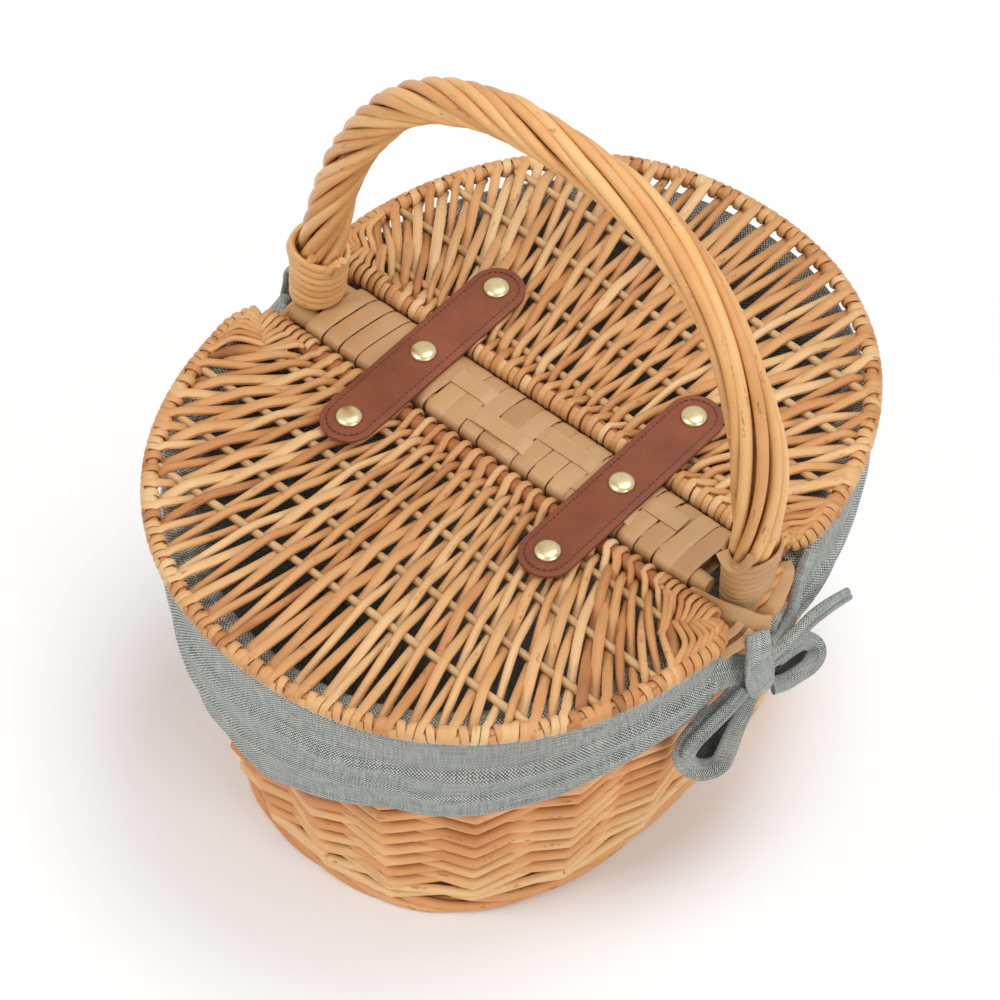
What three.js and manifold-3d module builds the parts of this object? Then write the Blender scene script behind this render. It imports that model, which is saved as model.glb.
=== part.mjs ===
// A willow picnic basket with two lids that swing on leather straps, a fixed arched handle and a cloth liner.
// Millimetres, +Z up. X runs along the centre bar, +Y points to the back lid, and the origin lies on the
// ground under the middle of the foot.
import * as THREE from "three";
import { mergeVertices } from "three/addons/utils/BufferGeometryUtils.js";
import Module from "manifold-3d";

// Fits: what touches keeps GAP, and what slides in a channel keeps PLAY all round.
const GAP = 0.3;
const PLAY = 0.3;

// Body: the outer outline at the ground and at RIM_LEVEL, and the woven wall between them.
const FOOT_HALF_X = 110;
const FOOT_HALF_Y = 153;
const FOOT_POWER = 2.5;
const RIM_HALF_X = 148;
const RIM_HALF_Y = 184;
const RIM_POWER = 2.15;
const RIM_LEVEL = 190;
const FOOT_RADIUS = 5.5;
const WALL_THICK = 11;
const WALL_HEIGHT = 165.4;
const BORDER_RADIUS = 7;
const BORDER_SIDES = 8;
const BASE_RAISE = 1.2;
const BASE_THICK = 9;
const STAKE_RADIUS = 2.5;
const BASE_STICK_HALF = 2.5;
const LONG_STICKS = 3;
const LONG_STICK_PITCH = 24;
const CROSS_STICKS = 5;
const CROSS_STICK_PITCH = 44;

// Liner: a bag inside the wall and a cuff turned down over the top border in two halves.
const CLOTH = 1.5;
const BAG_DROP = 2;
const CUFF_INSIDE = 14;
const CUFF_HEM = 122;
const CUFF_HEM_SIDE_RISE = 12;
const CUFF_HEM_SAG = 26;
const CUFF_PROUD = 5;
const CUFF_FOLDS = 8;
const CUFF_FOLD_DEPTH = 2.2;

// Lids: half ovals on a rim rod and a hinge rod, woven over cross sticks.
const LID_HALF_X = 147;
const LID_DEPTH = 163;
const LID_POWER = 2.13;
const LID_OVAL_Y = 23;
const LID_THICK = 10.8;
const LID_BEVEL = 3.4;
const LID_CORNER = 9;
const LID_CORNER_INSET = 11;
const RIM_ROD_RADIUS = 3.2;
const HINGE_ROD_RADIUS = 3.4;
const LID_STICK_RADIUS = 3;
const LID_STICKS = 4;
const LID_STICK_FIRST = 41;
const LID_STICK_PITCH = 29;
const LID_GAP = 3;
const LID_ARC_STEPS = 24;
const LID_OPENINGS = 10;
const LID_OPENING_PITCH = 26;
const LID_OPENING_WIDTH = 17;
const LID_OPENING_EDGE = 2;

// Centre bar: three rods side by side, bound with a flat strip of split willow.
const BAR_ROD_SIDES = 8;
const SKEIN_THICK = 1.2;
const SKEIN_WIDTH = 10.4;
const SKEIN_GAP = 0.8;
const BAR_TURNS = 20;
const BAR_MIDDLE_END = 117;
const BAR_BAND_WIDTH = 8;
const BAR_OVERHANG = 2;

// Handle: a core rod pushed into the wall at both ends, inside a rope of twisted rods.
const HANDLE_LEFT_X = -131;
const HANDLE_RIGHT_X = 140;
const HANDLE_RISE = 200;
const HANDLE_POWER = 2.4;
const HANDLE_SHIFT = 10;
const HANDLE_LEAN = 0.04;
const HANDLE_CORE_RADIUS = 4.2;
const HANDLE_RADIUS = 11;
const HANDLE_LOBES = 9;
const HANDLE_LOBE_DEPTH = 1.3;
const HANDLE_TURNS = 2.25;
const HANDLE_PEG = 45;
const HANDLE_CORE_STEPS = 24;
const HANDLE_ROPE_STEPS = 30;
const ARC_DIVISIONS = 600;
const FOOT_WRAP_ROD = 1.7;
const FOOT_WRAP_TURNS = 8;
const FOOT_WRAP_GAP = 0.7;
const FOOT_WRAP_BULGE = 1.5;
const FOOT_WRAP_STEPS = 12;

// Straps and their rivets.
const STRAP_LEFT_X = -64;
const STRAP_RIGHT_X = 61;
const STRAP_WIDTH = 32;
const STRAP_THICK = 2.5;
const STRAP_SHIFT = 3;
const STUD_SPACING = 54;
const STUD_RADIUS = 6.75;
const STUD_HEIGHT = 5;
const SHANK_RADIUS = 1.5;
const CAP_RADIUS = 6;
const CAP_THICK = 2.2;
const STUD_FACETS = 12;

// Bows of the liner's ties, one at each end of the bar.
const BOW_LEVEL = 150;
const TIE_THICK = 6;
const TIE_WAIST = 9;
const TIE_WIDTH = 7;
const TIE_TAPE = 4.5;
const KNOT_WALL = 3.4;
const KNOT_LENGTH = 14;
const KNOT_CHAMFER = 1.4;
const TIE_STRIP_RISE = 17;
const TIE_SEAT_STEPS = 0.35;

// Places on the bow from the middle of its knot, as [across, up]; the front is across the negative way.
const FRONT_LOOP = { end: [-33, -64], width: 24 };
const BACK_LOOP = { end: [51, -42], width: 22 };
const FRONT_TAIL = [-60, -16];
const BACK_TAIL = [62, -2];
const LOOP_STEPS = 14;

// Levels and places that follow from the sizes above.
const WALL_BOTTOM = 2 * FOOT_RADIUS + GAP;
const WALL_TOP = WALL_BOTTOM + WALL_HEIGHT;
const BASE_BOTTOM = WALL_BOTTOM + BASE_RAISE;
const BASE_TOP = BASE_BOTTOM + BASE_THICK;
const BORDER_LEVEL = WALL_TOP + GAP + BORDER_RADIUS;
const BORDER_TOP = BORDER_LEVEL + BORDER_RADIUS;
const LID_BOTTOM = BORDER_TOP + GAP + CLOTH + GAP;
const LID_TOP = LID_BOTTOM + LID_THICK;
const LID_MIDDLE = (LID_BOTTOM + LID_TOP) / 2;
const BAR_BOTTOM = BORDER_TOP + GAP;
const BAR_ROD_RADIUS = (LID_TOP - SKEIN_THICK - GAP - BAR_BOTTOM) / 2;
const BAR_LEVEL = BAR_BOTTOM + BAR_ROD_RADIUS;
const BAR_ROD_PITCH = 2 * BAR_ROD_RADIUS + GAP;
const BAR_HALF_WIDTH = BAR_ROD_PITCH + BAR_ROD_RADIUS + GAP + SKEIN_THICK;
const BAR_WRAP_BOTTOM = BAR_BOTTOM - GAP - SKEIN_THICK;
const LID_EDGE = BAR_HALF_WIDTH + LID_GAP;
const HINGE_Y = BAR_HALF_WIDTH + LID_GAP / 2;
const STRAP_BOTTOM = LID_TOP + GAP;
const STRAP_TOP = STRAP_BOTTOM + STRAP_THICK;
const HANDLE_FOOT = BAR_LEVEL + BAR_ROD_RADIUS + 2 * GAP + SKEIN_THICK;

// The facets round the body; all its rings share them, so that their gaps stay even. A stake stands at the
// middle of each facet.
const RING_STEPS = 40;
const RING_STEP = (2 * Math.PI) / RING_STEPS;
const CUFF_SLIT_STEPS = 1;
const CUFF_SLIT = RIM_HALF_Y * Math.sin(CUFF_SLIT_STEPS * RING_STEP);

const wasm = await Module();
wasm.setup();

const MATERIALS = {
  willow: { color: "#c8935a", roughness: 0.62, metalness: 0 },
  darkWillow: { color: "#b97a45", roughness: 0.6, metalness: 0 },
  paleWillow: { color: "#d9b27a", roughness: 0.6, metalness: 0 },
  skein: { color: "#c99c68", roughness: 0.5, metalness: 0 },
  linen: { color: "#7d8784", roughness: 0.95, metalness: 0 },
  leather: { color: "#743f31", roughness: 0.55, metalness: 0 },
  brass: { color: "#cdb66c", roughness: 0.28, metalness: 1 },
};
const basket = new THREE.Group();

function addPiece(name, geometry, materialName) {
  const mesh = new THREE.Mesh(geometry, new THREE.MeshStandardMaterial(MATERIALS[materialName]));
  mesh.name = name;
  basket.add(mesh);
  return mesh;
}

// Booleans on closed meshes.
function solidOf(geometry) {
  const bare = geometry.clone();
  bare.deleteAttribute("normal");
  bare.deleteAttribute("uv");
  const merged = mergeVertices(bare, 1e-3);
  return new wasm.Manifold(
    new wasm.Mesh({
      numProp: 3,
      vertProperties: new Float32Array(merged.attributes.position.array),
      triVerts: new Uint32Array(merged.index.array),
    }),
  );
}

function geometryOf(solid) {
  const mesh = solid.getMesh();
  const geometry = new THREE.BufferGeometry();
  geometry.setAttribute("position", new THREE.BufferAttribute(mesh.vertProperties, 3));
  geometry.setIndex(new THREE.BufferAttribute(mesh.triVerts, 1));
  geometry.computeVertexNormals();
  return geometry;
}

function cut(geometry, tools) {
  let solid = solidOf(geometry);
  for (const tool of tools) {
    solid = solid.subtract(solidOf(tool));
  }
  return geometryOf(solid);
}

function join(geometries) {
  let solid = solidOf(geometries[0]);
  for (const other of geometries.slice(1)) {
    solid = solid.add(solidOf(other));
  }
  return geometryOf(solid);
}

// A point on an oval whose corners fill out as power grows past 2.
function ovalPoint(halfX, halfY, power, angle) {
  const c = Math.cos(angle);
  const s = Math.sin(angle);
  const reach = (Math.abs(c) ** power + Math.abs(s) ** power) ** (-1 / power);
  return new THREE.Vector2(halfX * reach * c, halfY * reach * s);
}

// A point at this angle and height, inset from the body's outer surface.
function wallPoint(angle, z, inset) {
  const share = z / RIM_LEVEL;
  const halfX = THREE.MathUtils.lerp(FOOT_HALF_X, RIM_HALF_X, share) - inset;
  const halfY = THREE.MathUtils.lerp(FOOT_HALF_Y, RIM_HALF_Y, share) - inset;
  const power = THREE.MathUtils.lerp(FOOT_POWER, RIM_POWER, share);
  const place = ovalPoint(halfX, halfY, power, angle);
  return new THREE.Vector3(place.x, place.y, z);
}

// Moves each vertex of a round form about Z onto the body: place(angle, radius, z) gives the new point.
function bendRound(geometry, place) {
  const position = geometry.attributes.position;
  const vertex = new THREE.Vector3();
  for (let i = 0; i < position.count; i += 1) {
    vertex.fromBufferAttribute(position, i);
    const angle = Math.atan2(vertex.y, vertex.x);
    const moved = place(angle, Math.hypot(vertex.x, vertex.y), vertex.z);
    position.setXYZ(i, moved.x, moved.y, moved.z);
  }
  geometry.computeVertexNormals();
  return geometry;
}

// A ring round the body from a closed profile of [inset, z].
function bodyRing(profile) {
  const far = 1000;
  const points = [...profile, profile[0]].map(([inset, z]) => new THREE.Vector2(far - inset, z));
  const geometry = new THREE.LatheGeometry(points, RING_STEPS).rotateX(Math.PI / 2);
  return bendRound(geometry, (angle, radius, z) => wallPoint(angle, z, far - radius));
}

// A solid oval plug between two levels, inset from the body's outer surface.
function bodyPlug(inset, bottom, top) {
  const geometry = new THREE.CylinderGeometry(1, 1, top - bottom, RING_STEPS).rotateX(Math.PI / 2);
  geometry.translate(0, 0, (top + bottom) / 2);
  return bendRound(geometry, (angle, radius, z) => {
    const edge = wallPoint(angle, z, inset);
    return radius > 0.5 ? edge : new THREE.Vector3(0, 0, z);
  });
}

// The corners of a section with flat sides, as far from its middle as radius.
function flatSided(radius, sides) {
  const corner = radius / Math.cos(Math.PI / sides);
  return Array.from({ length: sides }, (_, i) => {
    const angle = (2 * Math.PI * (i + 0.5)) / sides;
    return new THREE.Vector2(corner * Math.cos(angle), corner * Math.sin(angle));
  });
}

// A shape with a hole; its outline runs anticlockwise, so that either way round suits the hole.
function shapeWithHole(outline, hole) {
  const clockwise = THREE.ShapeUtils.isClockWise(outline);
  const shape = new THREE.Shape(clockwise ? [...outline].reverse() : outline);
  shape.holes.push(new THREE.Path(hole));
  return shape;
}

function roundProfile(inset, level, radius, sides) {
  return flatSided(radius, sides).map((corner) => [inset - corner.x, level + corner.y]);
}

// A route through stations, with one extrusion step from each to the next.
class RodPath extends THREE.Curve {
  constructor(stations) {
    super();
    this.stations = stations;
  }

  getPoint(t, target = new THREE.Vector3()) {
    const place = t * (this.stations.length - 1);
    const index = Math.min(Math.floor(place + 1e-9), this.stations.length - 2);
    return target.lerpVectors(this.stations[index], this.stations[index + 1], place - index);
  }

  getPointAt(u, target) {
    return this.getPoint(u, target);
  }

  getTangentAt(u, target = new THREE.Vector3()) {
    const last = this.stations.length - 1;
    const index = Math.round(u * last);
    const here = this.stations[index];
    const into = new THREE.Vector3().subVectors(here, this.stations[Math.max(index - 1, 0)]).normalize();
    const out = new THREE.Vector3().subVectors(this.stations[Math.min(index + 1, last)], here).normalize();
    return target.addVectors(into, out).normalize();
  }
}

function rod(stations, radius, sides = 6) {
  return new THREE.ExtrudeGeometry(new THREE.Shape(flatSided(radius, sides)), {
    steps: stations.length - 1,
    bevelEnabled: false,
    extrudePath: new RodPath(stations),
  });
}

// A closed body through rings of points, with a flat cap at each end.
function sweep(rings) {
  const count = rings[0].length;
  const points = rings.flat();
  const index = [];
  for (let r = 0; r + 1 < rings.length; r += 1) {
    for (let k = 0; k < count; k += 1) {
      const a = r * count + k;
      const b = r * count + ((k + 1) % count);
      index.push(a, b, b + count, a, b + count, a + count);
    }
  }
  const last = (rings.length - 1) * count;
  for (let k = 1; k + 1 < count; k += 1) {
    index.push(0, k + 1, k);
    index.push(last, last + k, last + k + 1);
  }
  const geometry = new THREE.BufferGeometry().setFromPoints(points);
  geometry.setIndex(index);
  return facingOut(geometry);
}

// Turns the faces round if they enclose a negative volume.
function facingOut(geometry) {
  const position = geometry.attributes.position;
  const index = geometry.index.array;
  const [a, b, c] = [new THREE.Vector3(), new THREE.Vector3(), new THREE.Vector3()];
  let volume = 0;
  for (let i = 0; i < index.length; i += 3) {
    a.fromBufferAttribute(position, index[i]);
    b.fromBufferAttribute(position, index[i + 1]);
    c.fromBufferAttribute(position, index[i + 2]);
    volume += a.dot(b.cross(c));
  }
  if (volume < 0) {
    for (let i = 0; i < index.length; i += 3) {
      [index[i + 1], index[i + 2]] = [index[i + 2], index[i + 1]];
    }
  }
  geometry.computeVertexNormals();
  return geometry;
}

// The least distance between points of a winding that lie at least half a turn apart.
function printSelfGap(name, rings, stepsPerTurn) {
  let least = Infinity;
  for (let i = 0; i < rings.length; i += 1) {
    for (let j = i + Math.floor(stepsPerTurn / 2); j < rings.length; j += 1) {
      for (const p of rings[i]) {
        for (const q of rings[j]) {
          least = Math.min(least, p.distanceTo(q));
        }
      }
    }
  }
  console.log(`${name}: least gap to itself ${least.toFixed(2)} mm`);
}

// Body: foot border, base, wall, stakes and top border.
function stakeRod(angle, radius) {
  const top = wallPoint(angle, BORDER_LEVEL, BORDER_RADIUS);
  const bottom = wallPoint(angle, WALL_BOTTOM, WALL_THICK / 2);
  if (radius === STAKE_RADIUS) {
    bottom.lerp(top, GAP / WALL_HEIGHT);
  } else {
    bottom.lerp(top, -BASE_RAISE / WALL_HEIGHT);
  }
  return rod([bottom, top], radius);
}

function stakeAngles() {
  return Array.from({ length: RING_STEPS }, (_, k) => (k + 0.5) * RING_STEP);
}

const HANDLE_SPAN = (HANDLE_RIGHT_X - HANDLE_LEFT_X) / 2;
const HANDLE_MIDDLE = (HANDLE_RIGHT_X + HANDLE_LEFT_X) / 2;

// The handle's centre line from the left foot, at t = 0, to the right foot, at t = 1.
class HandleArch extends THREE.Curve {
  getPoint(t, target = new THREE.Vector3()) {
    const angle = Math.PI * (1 - t);
    const c = Math.cos(angle);
    const across = Math.sign(c) * Math.abs(c) ** (2 / HANDLE_POWER);
    const height = Math.abs(Math.sin(angle)) ** (2 / HANDLE_POWER);
    return target.set(
      HANDLE_MIDDLE + HANDLE_SPAN * across + handleShift(height),
      HANDLE_LEAN * HANDLE_RISE * height,
      HANDLE_FOOT + HANDLE_RISE * height,
    );
  }
}

// How far the arch moves to the right at this share of its height.
function handleShift(height) {
  return HANDLE_SHIFT * Math.sin((Math.PI / 2) * height);
}

function pegStations(side) {
  const inWall = (z) => wallPoint(side > 0 ? 0 : Math.PI, z, WALL_THICK / 2);
  return [inWall(WALL_TOP - HANDLE_PEG), inWall(WALL_TOP - GAP), inWall(BORDER_TOP)];
}

function coreStations() {
  const arch = new HandleArch();
  arch.arcLengthDivisions = ARC_DIVISIONS;
  return [...pegStations(-1), ...arch.getSpacedPoints(HANDLE_CORE_STEPS), ...pegStations(1).reverse()];
}

function buildBody() {
  addPiece("foot_border", bodyRing(roundProfile(FOOT_RADIUS, FOOT_RADIUS, FOOT_RADIUS, BORDER_SIDES)), "willow");

  const baseInset = WALL_THICK + GAP;
  const baseMiddle = (BASE_BOTTOM + BASE_TOP) / 2;
  const basePlug = bodyPlug(baseInset, BASE_BOTTOM, BASE_TOP);
  const sticks = join(baseSticks(BASE_STICK_HALF, baseMiddle));
  addPiece("base_weave", cut(basePlug, baseSticks(BASE_STICK_HALF + PLAY, baseMiddle)), "willow");
  addPiece("base_sticks", geometryOf(solidOf(sticks).intersect(solidOf(basePlug))), "willow");

  const channels = stakeAngles().map((angle) => stakeRod(angle, STAKE_RADIUS + PLAY));
  const socket = rod(coreStations(), HANDLE_CORE_RADIUS + PLAY);
  const wall = bodyRing([
    [0, WALL_BOTTOM],
    [0, WALL_TOP],
    [WALL_THICK, WALL_TOP],
    [WALL_THICK, WALL_BOTTOM],
  ]);
  addPiece("wall_weave", cut(wall, [...channels, socket]), "willow");

  const stakes = stakeAngles().map((angle) => stakeRod(angle, STAKE_RADIUS));
  const border = bodyRing(roundProfile(BORDER_RADIUS, BORDER_LEVEL, BORDER_RADIUS, BORDER_SIDES));
  addPiece("stakes_and_top_border", cut(join([border, ...stakes]), [socket]), "willow");
}

// Split sticks, square in section, that cross the whole foot; their ends are trimmed to the base's edge.
function baseSticks(half, level) {
  const sticks = [];
  for (let k = 0; k < LONG_STICKS; k += 1) {
    const x = (k - (LONG_STICKS - 1) / 2) * LONG_STICK_PITCH;
    const end = (y) => new THREE.Vector3(x, y, level);
    sticks.push(rod([end(-FOOT_HALF_Y), end(FOOT_HALF_Y)], half, 4));
  }
  for (let k = 0; k < CROSS_STICKS; k += 1) {
    const y = (k - (CROSS_STICKS - 1) / 2) * CROSS_STICK_PITCH;
    const end = (x) => new THREE.Vector3(x, y, level);
    sticks.push(rod([end(-FOOT_HALF_X), end(FOOT_HALF_X)], half, 4));
  }
  return sticks;
}

// Liner: the bag, and the two halves of the cuff with their folds.
function buildLiner() {
  const bagInset = WALL_THICK + GAP;
  const bagTop = WALL_TOP - BAG_DROP;
  const outer = bodyPlug(bagInset, BASE_TOP + GAP, bagTop);
  const inner = bodyPlug(bagInset + CLOTH, BASE_TOP + GAP + CLOTH, bagTop + CLOTH);
  addPiece("liner_bag", cut(outer, [inner]), "linen");

  addPiece("liner_cuff_front", cuff(-RING_STEPS / 2), "linen");
  addPiece("liner_cuff_back", cuff(0), "linen");
}

// The cuff's middle line at one angle as [inset, z], from its sewn edge inside to its hem outside.
function cuffLine(angle) {
  const over = (BORDER_RADIUS + GAP + CLOTH / 2) / Math.cos(Math.PI / BORDER_SIDES);
  const hem = cuffHem(angle);
  const drop = BORDER_LEVEL - hem;
  const wave = Math.cos(CUFF_FOLDS * (angle + Math.PI / 2));
  const line = [
    [WALL_THICK + GAP + CLOTH + GAP + CLOTH / 2 + GAP, WALL_TOP - CUFF_INSIDE],
  ];
  for (let k = 0; k < BORDER_SIDES / 2; k += 1) {
    const way = (2 * Math.PI * (k + 0.5)) / BORDER_SIDES;
    line.push([BORDER_RADIUS + over * Math.cos(way), BORDER_LEVEL + over * Math.sin(way)]);
  }
  for (const share of [0.3, 0.55, 0.75, 1]) {
    const fold = CUFF_FOLD_DEPTH * share * wave;
    line.push([-GAP - CLOTH - CUFF_PROUD * share - fold, BORDER_LEVEL - drop * share]);
  }
  return line;
}

// The hem hangs lowest at the left of the front half, and is mirrored through the middle at the back.
function cuffHem(angle) {
  const across = Math.sin(angle) < 0 ? Math.cos(angle) : -Math.cos(angle);
  const side = CUFF_HEM_SIDE_RISE * Math.cos(angle) ** 2;
  return CUFF_HEM + side - CUFF_HEM_SAG * Math.sin((Math.PI * Math.max(0.5 - across, 0)) / 1.5) ** 2;
}

// A point this far off the cuff's outer face, between its top and its hem.
function cuffFace(angle, z, off) {
  const line = cuffLine(angle);
  const below = line.findIndex(([, level], k) => k > BORDER_SIDES / 2 && level < z);
  const [upper, lower] = [line[below - 1], line[below]];
  const inset = THREE.MathUtils.mapLinear(z, upper[1], lower[1], upper[0], lower[0]);
  return wallPoint(angle, z, inset - CLOTH / 2 - off);
}

function cuff(firstStep) {
  const rings = [];
  for (let i = CUFF_SLIT_STEPS; i <= RING_STEPS / 2 - CUFF_SLIT_STEPS; i += 1) {
    const angle = (firstStep + i) * RING_STEP;
    const line = cuffLine(angle);
    const sides = line.map(([inset, z], k) => {
      const before = line[Math.max(k - 1, 0)];
      const after = line[Math.min(k + 1, line.length - 1)];
      const along = new THREE.Vector2(after[0] - before[0], after[1] - before[1]).normalize();
      const offset = new THREE.Vector2(-along.y, along.x).multiplyScalar(CLOTH / 2);
      const at = (sign) => wallPoint(angle, z + sign * offset.y, inset + sign * offset.x);
      return [at(1), at(-1)];
    });
    rings.push([...sides.map((pair) => pair[0]), ...sides.map((pair) => pair[1]).reverse()]);
  }
  return sweep(rings);
}

// Lids. Outward means away from the centre bar; side is -1 for the front lid and 1 for the back lid.
function lidOval(grow, angle) {
  const place = ovalPoint(LID_HALF_X + grow, LID_DEPTH + grow, LID_POWER, angle);
  return new THREE.Vector2(place.x, LID_OVAL_Y + place.y);
}

function lidArc(grow) {
  const corner = THREE.MathUtils.degToRad(LID_CORNER);
  return Array.from({ length: LID_ARC_STEPS + 1 }, (_, i) => {
    return lidOval(grow, THREE.MathUtils.lerp(corner, Math.PI - corner, i / LID_ARC_STEPS));
  });
}

// Half the width inside an outline that is grown from the rim rod's centre line; the corner is cut straight.
function lidHalfWidth(outward, grow) {
  const tipX = LID_HALF_X - LID_CORNER_INSET;
  const first = lidArc(0)[0];
  if (outward < first.y) {
    const share = (outward - LID_EDGE) / (first.y - LID_EDGE);
    return THREE.MathUtils.lerp(tipX, first.x, share) + grow;
  }
  const share = (outward - LID_OVAL_Y) / (LID_DEPTH + grow);
  return (LID_HALF_X + grow) * (1 - share ** LID_POWER) ** (1 / LID_POWER);
}

function rimRodStations(side, past) {
  const arc = lidArc(0);
  const tip = new THREE.Vector2(LID_HALF_X - LID_CORNER_INSET, LID_EDGE);
  const run = new THREE.Vector2().subVectors(tip, arc[0]).setLength(Math.abs(past));
  tip.addScaledVector(run, Math.sign(past));
  const plan = [tip, ...arc, new THREE.Vector2(-tip.x, tip.y)];
  return plan.map((p) => new THREE.Vector3(p.x, side * p.y, LID_MIDDLE));
}

function crossRod(side, outward, halfLength, radius) {
  const end = (x) => new THREE.Vector3(x, side * outward, LID_MIDDLE);
  return rod([end(-halfLength), end(halfLength)], radius);
}

function lidPlate(side) {
  const edgeX = LID_HALF_X - LID_CORNER_INSET + LID_THICK / 2 - LID_BEVEL;
  const plan = [
    new THREE.Vector2(edgeX, LID_EDGE + LID_BEVEL),
    ...lidArc(LID_THICK / 2 - LID_BEVEL),
    new THREE.Vector2(-edgeX, LID_EDGE + LID_BEVEL),
  ];
  const shape = new THREE.Shape(plan);
  const geometry = new THREE.ExtrudeGeometry(shape, {
    depth: LID_THICK - 2 * LID_BEVEL,
    bevelThickness: LID_BEVEL,
    bevelSize: LID_BEVEL,
    bevelSegments: 1,
  });
  geometry.translate(0, 0, LID_BOTTOM + LID_BEVEL);
  return side > 0 ? geometry : geometry.rotateZ(Math.PI);
}

// Openings between the sticks, in rows that stop short of the rim rod and of the studs.
function lidOpenings(side, studs) {
  const blocks = [];
  const reach = LID_STICK_RADIUS + PLAY + LID_OPENING_EDGE;
  const clear = -RIM_ROD_RADIUS - PLAY - LID_OPENING_EDGE;
  for (let k = 0; k < LID_STICKS; k += 1) {
    const near = LID_STICK_FIRST + k * LID_STICK_PITCH + reach;
    const far = near + LID_STICK_PITCH - 2 * reach;
    for (let i = 0; i < LID_OPENINGS; i += 1) {
      const x = (i - (LID_OPENINGS - 1) / 2) * LID_OPENING_PITCH;
      const outerX = Math.abs(x) + LID_OPENING_WIDTH / 2;
      const byStud = studs.some((stud) => {
        return Math.abs(stud.x - x) < LID_OPENING_WIDTH && stud.outward > near && stud.outward < far;
      });
      if (!byStud && outerX < lidHalfWidth(far, clear)) {
        const block = new THREE.BoxGeometry(LID_OPENING_WIDTH, far - near, 2 * LID_THICK);
        block.translate(x, (side * (near + far)) / 2, LID_MIDDLE);
        blocks.push(block);
      }
    }
  }
  return blocks;
}

function buildLid(name, side) {
  const rimRod = rod(rimRodStations(side, -GAP), RIM_ROD_RADIUS);
  const rimChannel = rod(rimRodStations(side, LID_GAP), RIM_ROD_RADIUS + PLAY);
  const hingeOutward = LID_EDGE + LID_THICK / 2;
  const hingeReach = LID_HALF_X - LID_CORNER_INSET;
  const hingeRod = crossRod(side, hingeOutward, hingeReach - RIM_ROD_RADIUS - 2 * GAP, HINGE_ROD_RADIUS);
  const channels = [rimChannel, crossRod(side, hingeOutward, hingeReach, HINGE_ROD_RADIUS + PLAY)];
  const sticks = [];
  for (let k = 0; k < LID_STICKS; k += 1) {
    const outward = LID_STICK_FIRST + k * LID_STICK_PITCH;
    const clear = -RIM_ROD_RADIUS - 3 * GAP;
    const near = lidHalfWidth(outward - LID_STICK_RADIUS, clear);
    const far = lidHalfWidth(outward + LID_STICK_RADIUS, clear);
    sticks.push(crossRod(side, outward, Math.min(near, far), LID_STICK_RADIUS));
    channels.push(crossRod(side, outward, lidHalfWidth(outward, 0), LID_STICK_RADIUS + PLAY));
  }
  const studY = side * STUD_SPACING + STRAP_SHIFT;
  const shankHoles = strapPlaces().map((x) => {
    return pin(x, studY, LID_BOTTOM - GAP, LID_TOP + GAP, SHANK_RADIUS + PLAY);
  });
  const studs = strapPlaces().map((x) => ({ x, outward: side * studY }));
  const openings = lidOpenings(side, studs);
  addPiece(`${name}_weave`, cut(lidPlate(side), [...channels, ...shankHoles, ...openings]), "willow");
  addPiece(`${name}_rim_rod`, rimRod, "willow");
  addPiece(`${name}_hinge_rod`, hingeRod, "darkWillow");
  sticks.forEach((stick, k) => addPiece(`${name}_stick_${k + 1}`, stick, "paleWillow"));
}

// Centre bar: three rods, the flat winding and a band round each end.
function barLoop(clear) {
  const radius = (BAR_ROD_RADIUS + GAP + clear) / Math.cos(Math.PI / BAR_ROD_SIDES);
  const loop = [];
  for (const side of [1, -1]) {
    for (let k = 0; k < BAR_ROD_SIDES / 2; k += 1) {
      const way = Math.PI / 2 - (2 * Math.PI * (k + 0.5)) / BAR_ROD_SIDES;
      const y = side * (BAR_ROD_PITCH + radius * Math.cos(way));
      loop.push(new THREE.Vector2(y, BAR_LEVEL + side * radius * Math.sin(way)));
    }
  }
  return loop;
}

function barWinding() {
  const inner = barLoop(0);
  const outer = barLoop(SKEIN_THICK);
  const pitch = SKEIN_WIDTH + SKEIN_GAP;
  const perTurn = inner.length;
  const start = (-BAR_TURNS * pitch - SKEIN_WIDTH) / 2;
  const rings = [];
  for (let i = 0; i <= BAR_TURNS * perTurn; i += 1) {
    const x = start + (pitch * i) / perTurn;
    const [p, q] = [inner[i % perTurn], outer[i % perTurn]];
    rings.push([
      new THREE.Vector3(x, p.x, p.y),
      new THREE.Vector3(x + SKEIN_WIDTH, p.x, p.y),
      new THREE.Vector3(x + SKEIN_WIDTH, q.x, q.y),
      new THREE.Vector3(x, q.x, q.y),
    ]);
  }
  printSelfGap("bar_winding", rings, perTurn);
  return sweep(rings);
}

function barBand(x) {
  const shape = shapeWithHole(barLoop(SKEIN_THICK), barLoop(0));
  const geometry = new THREE.ExtrudeGeometry(shape, { depth: BAR_BAND_WIDTH, bevelEnabled: false });
  const turned = new THREE.Matrix4().makeBasis(
    new THREE.Vector3(0, 1, 0),
    new THREE.Vector3(0, 0, 1),
    new THREE.Vector3(1, 0, 0),
  );
  return geometry.applyMatrix4(turned).translate(x, 0, 0);
}

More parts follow.
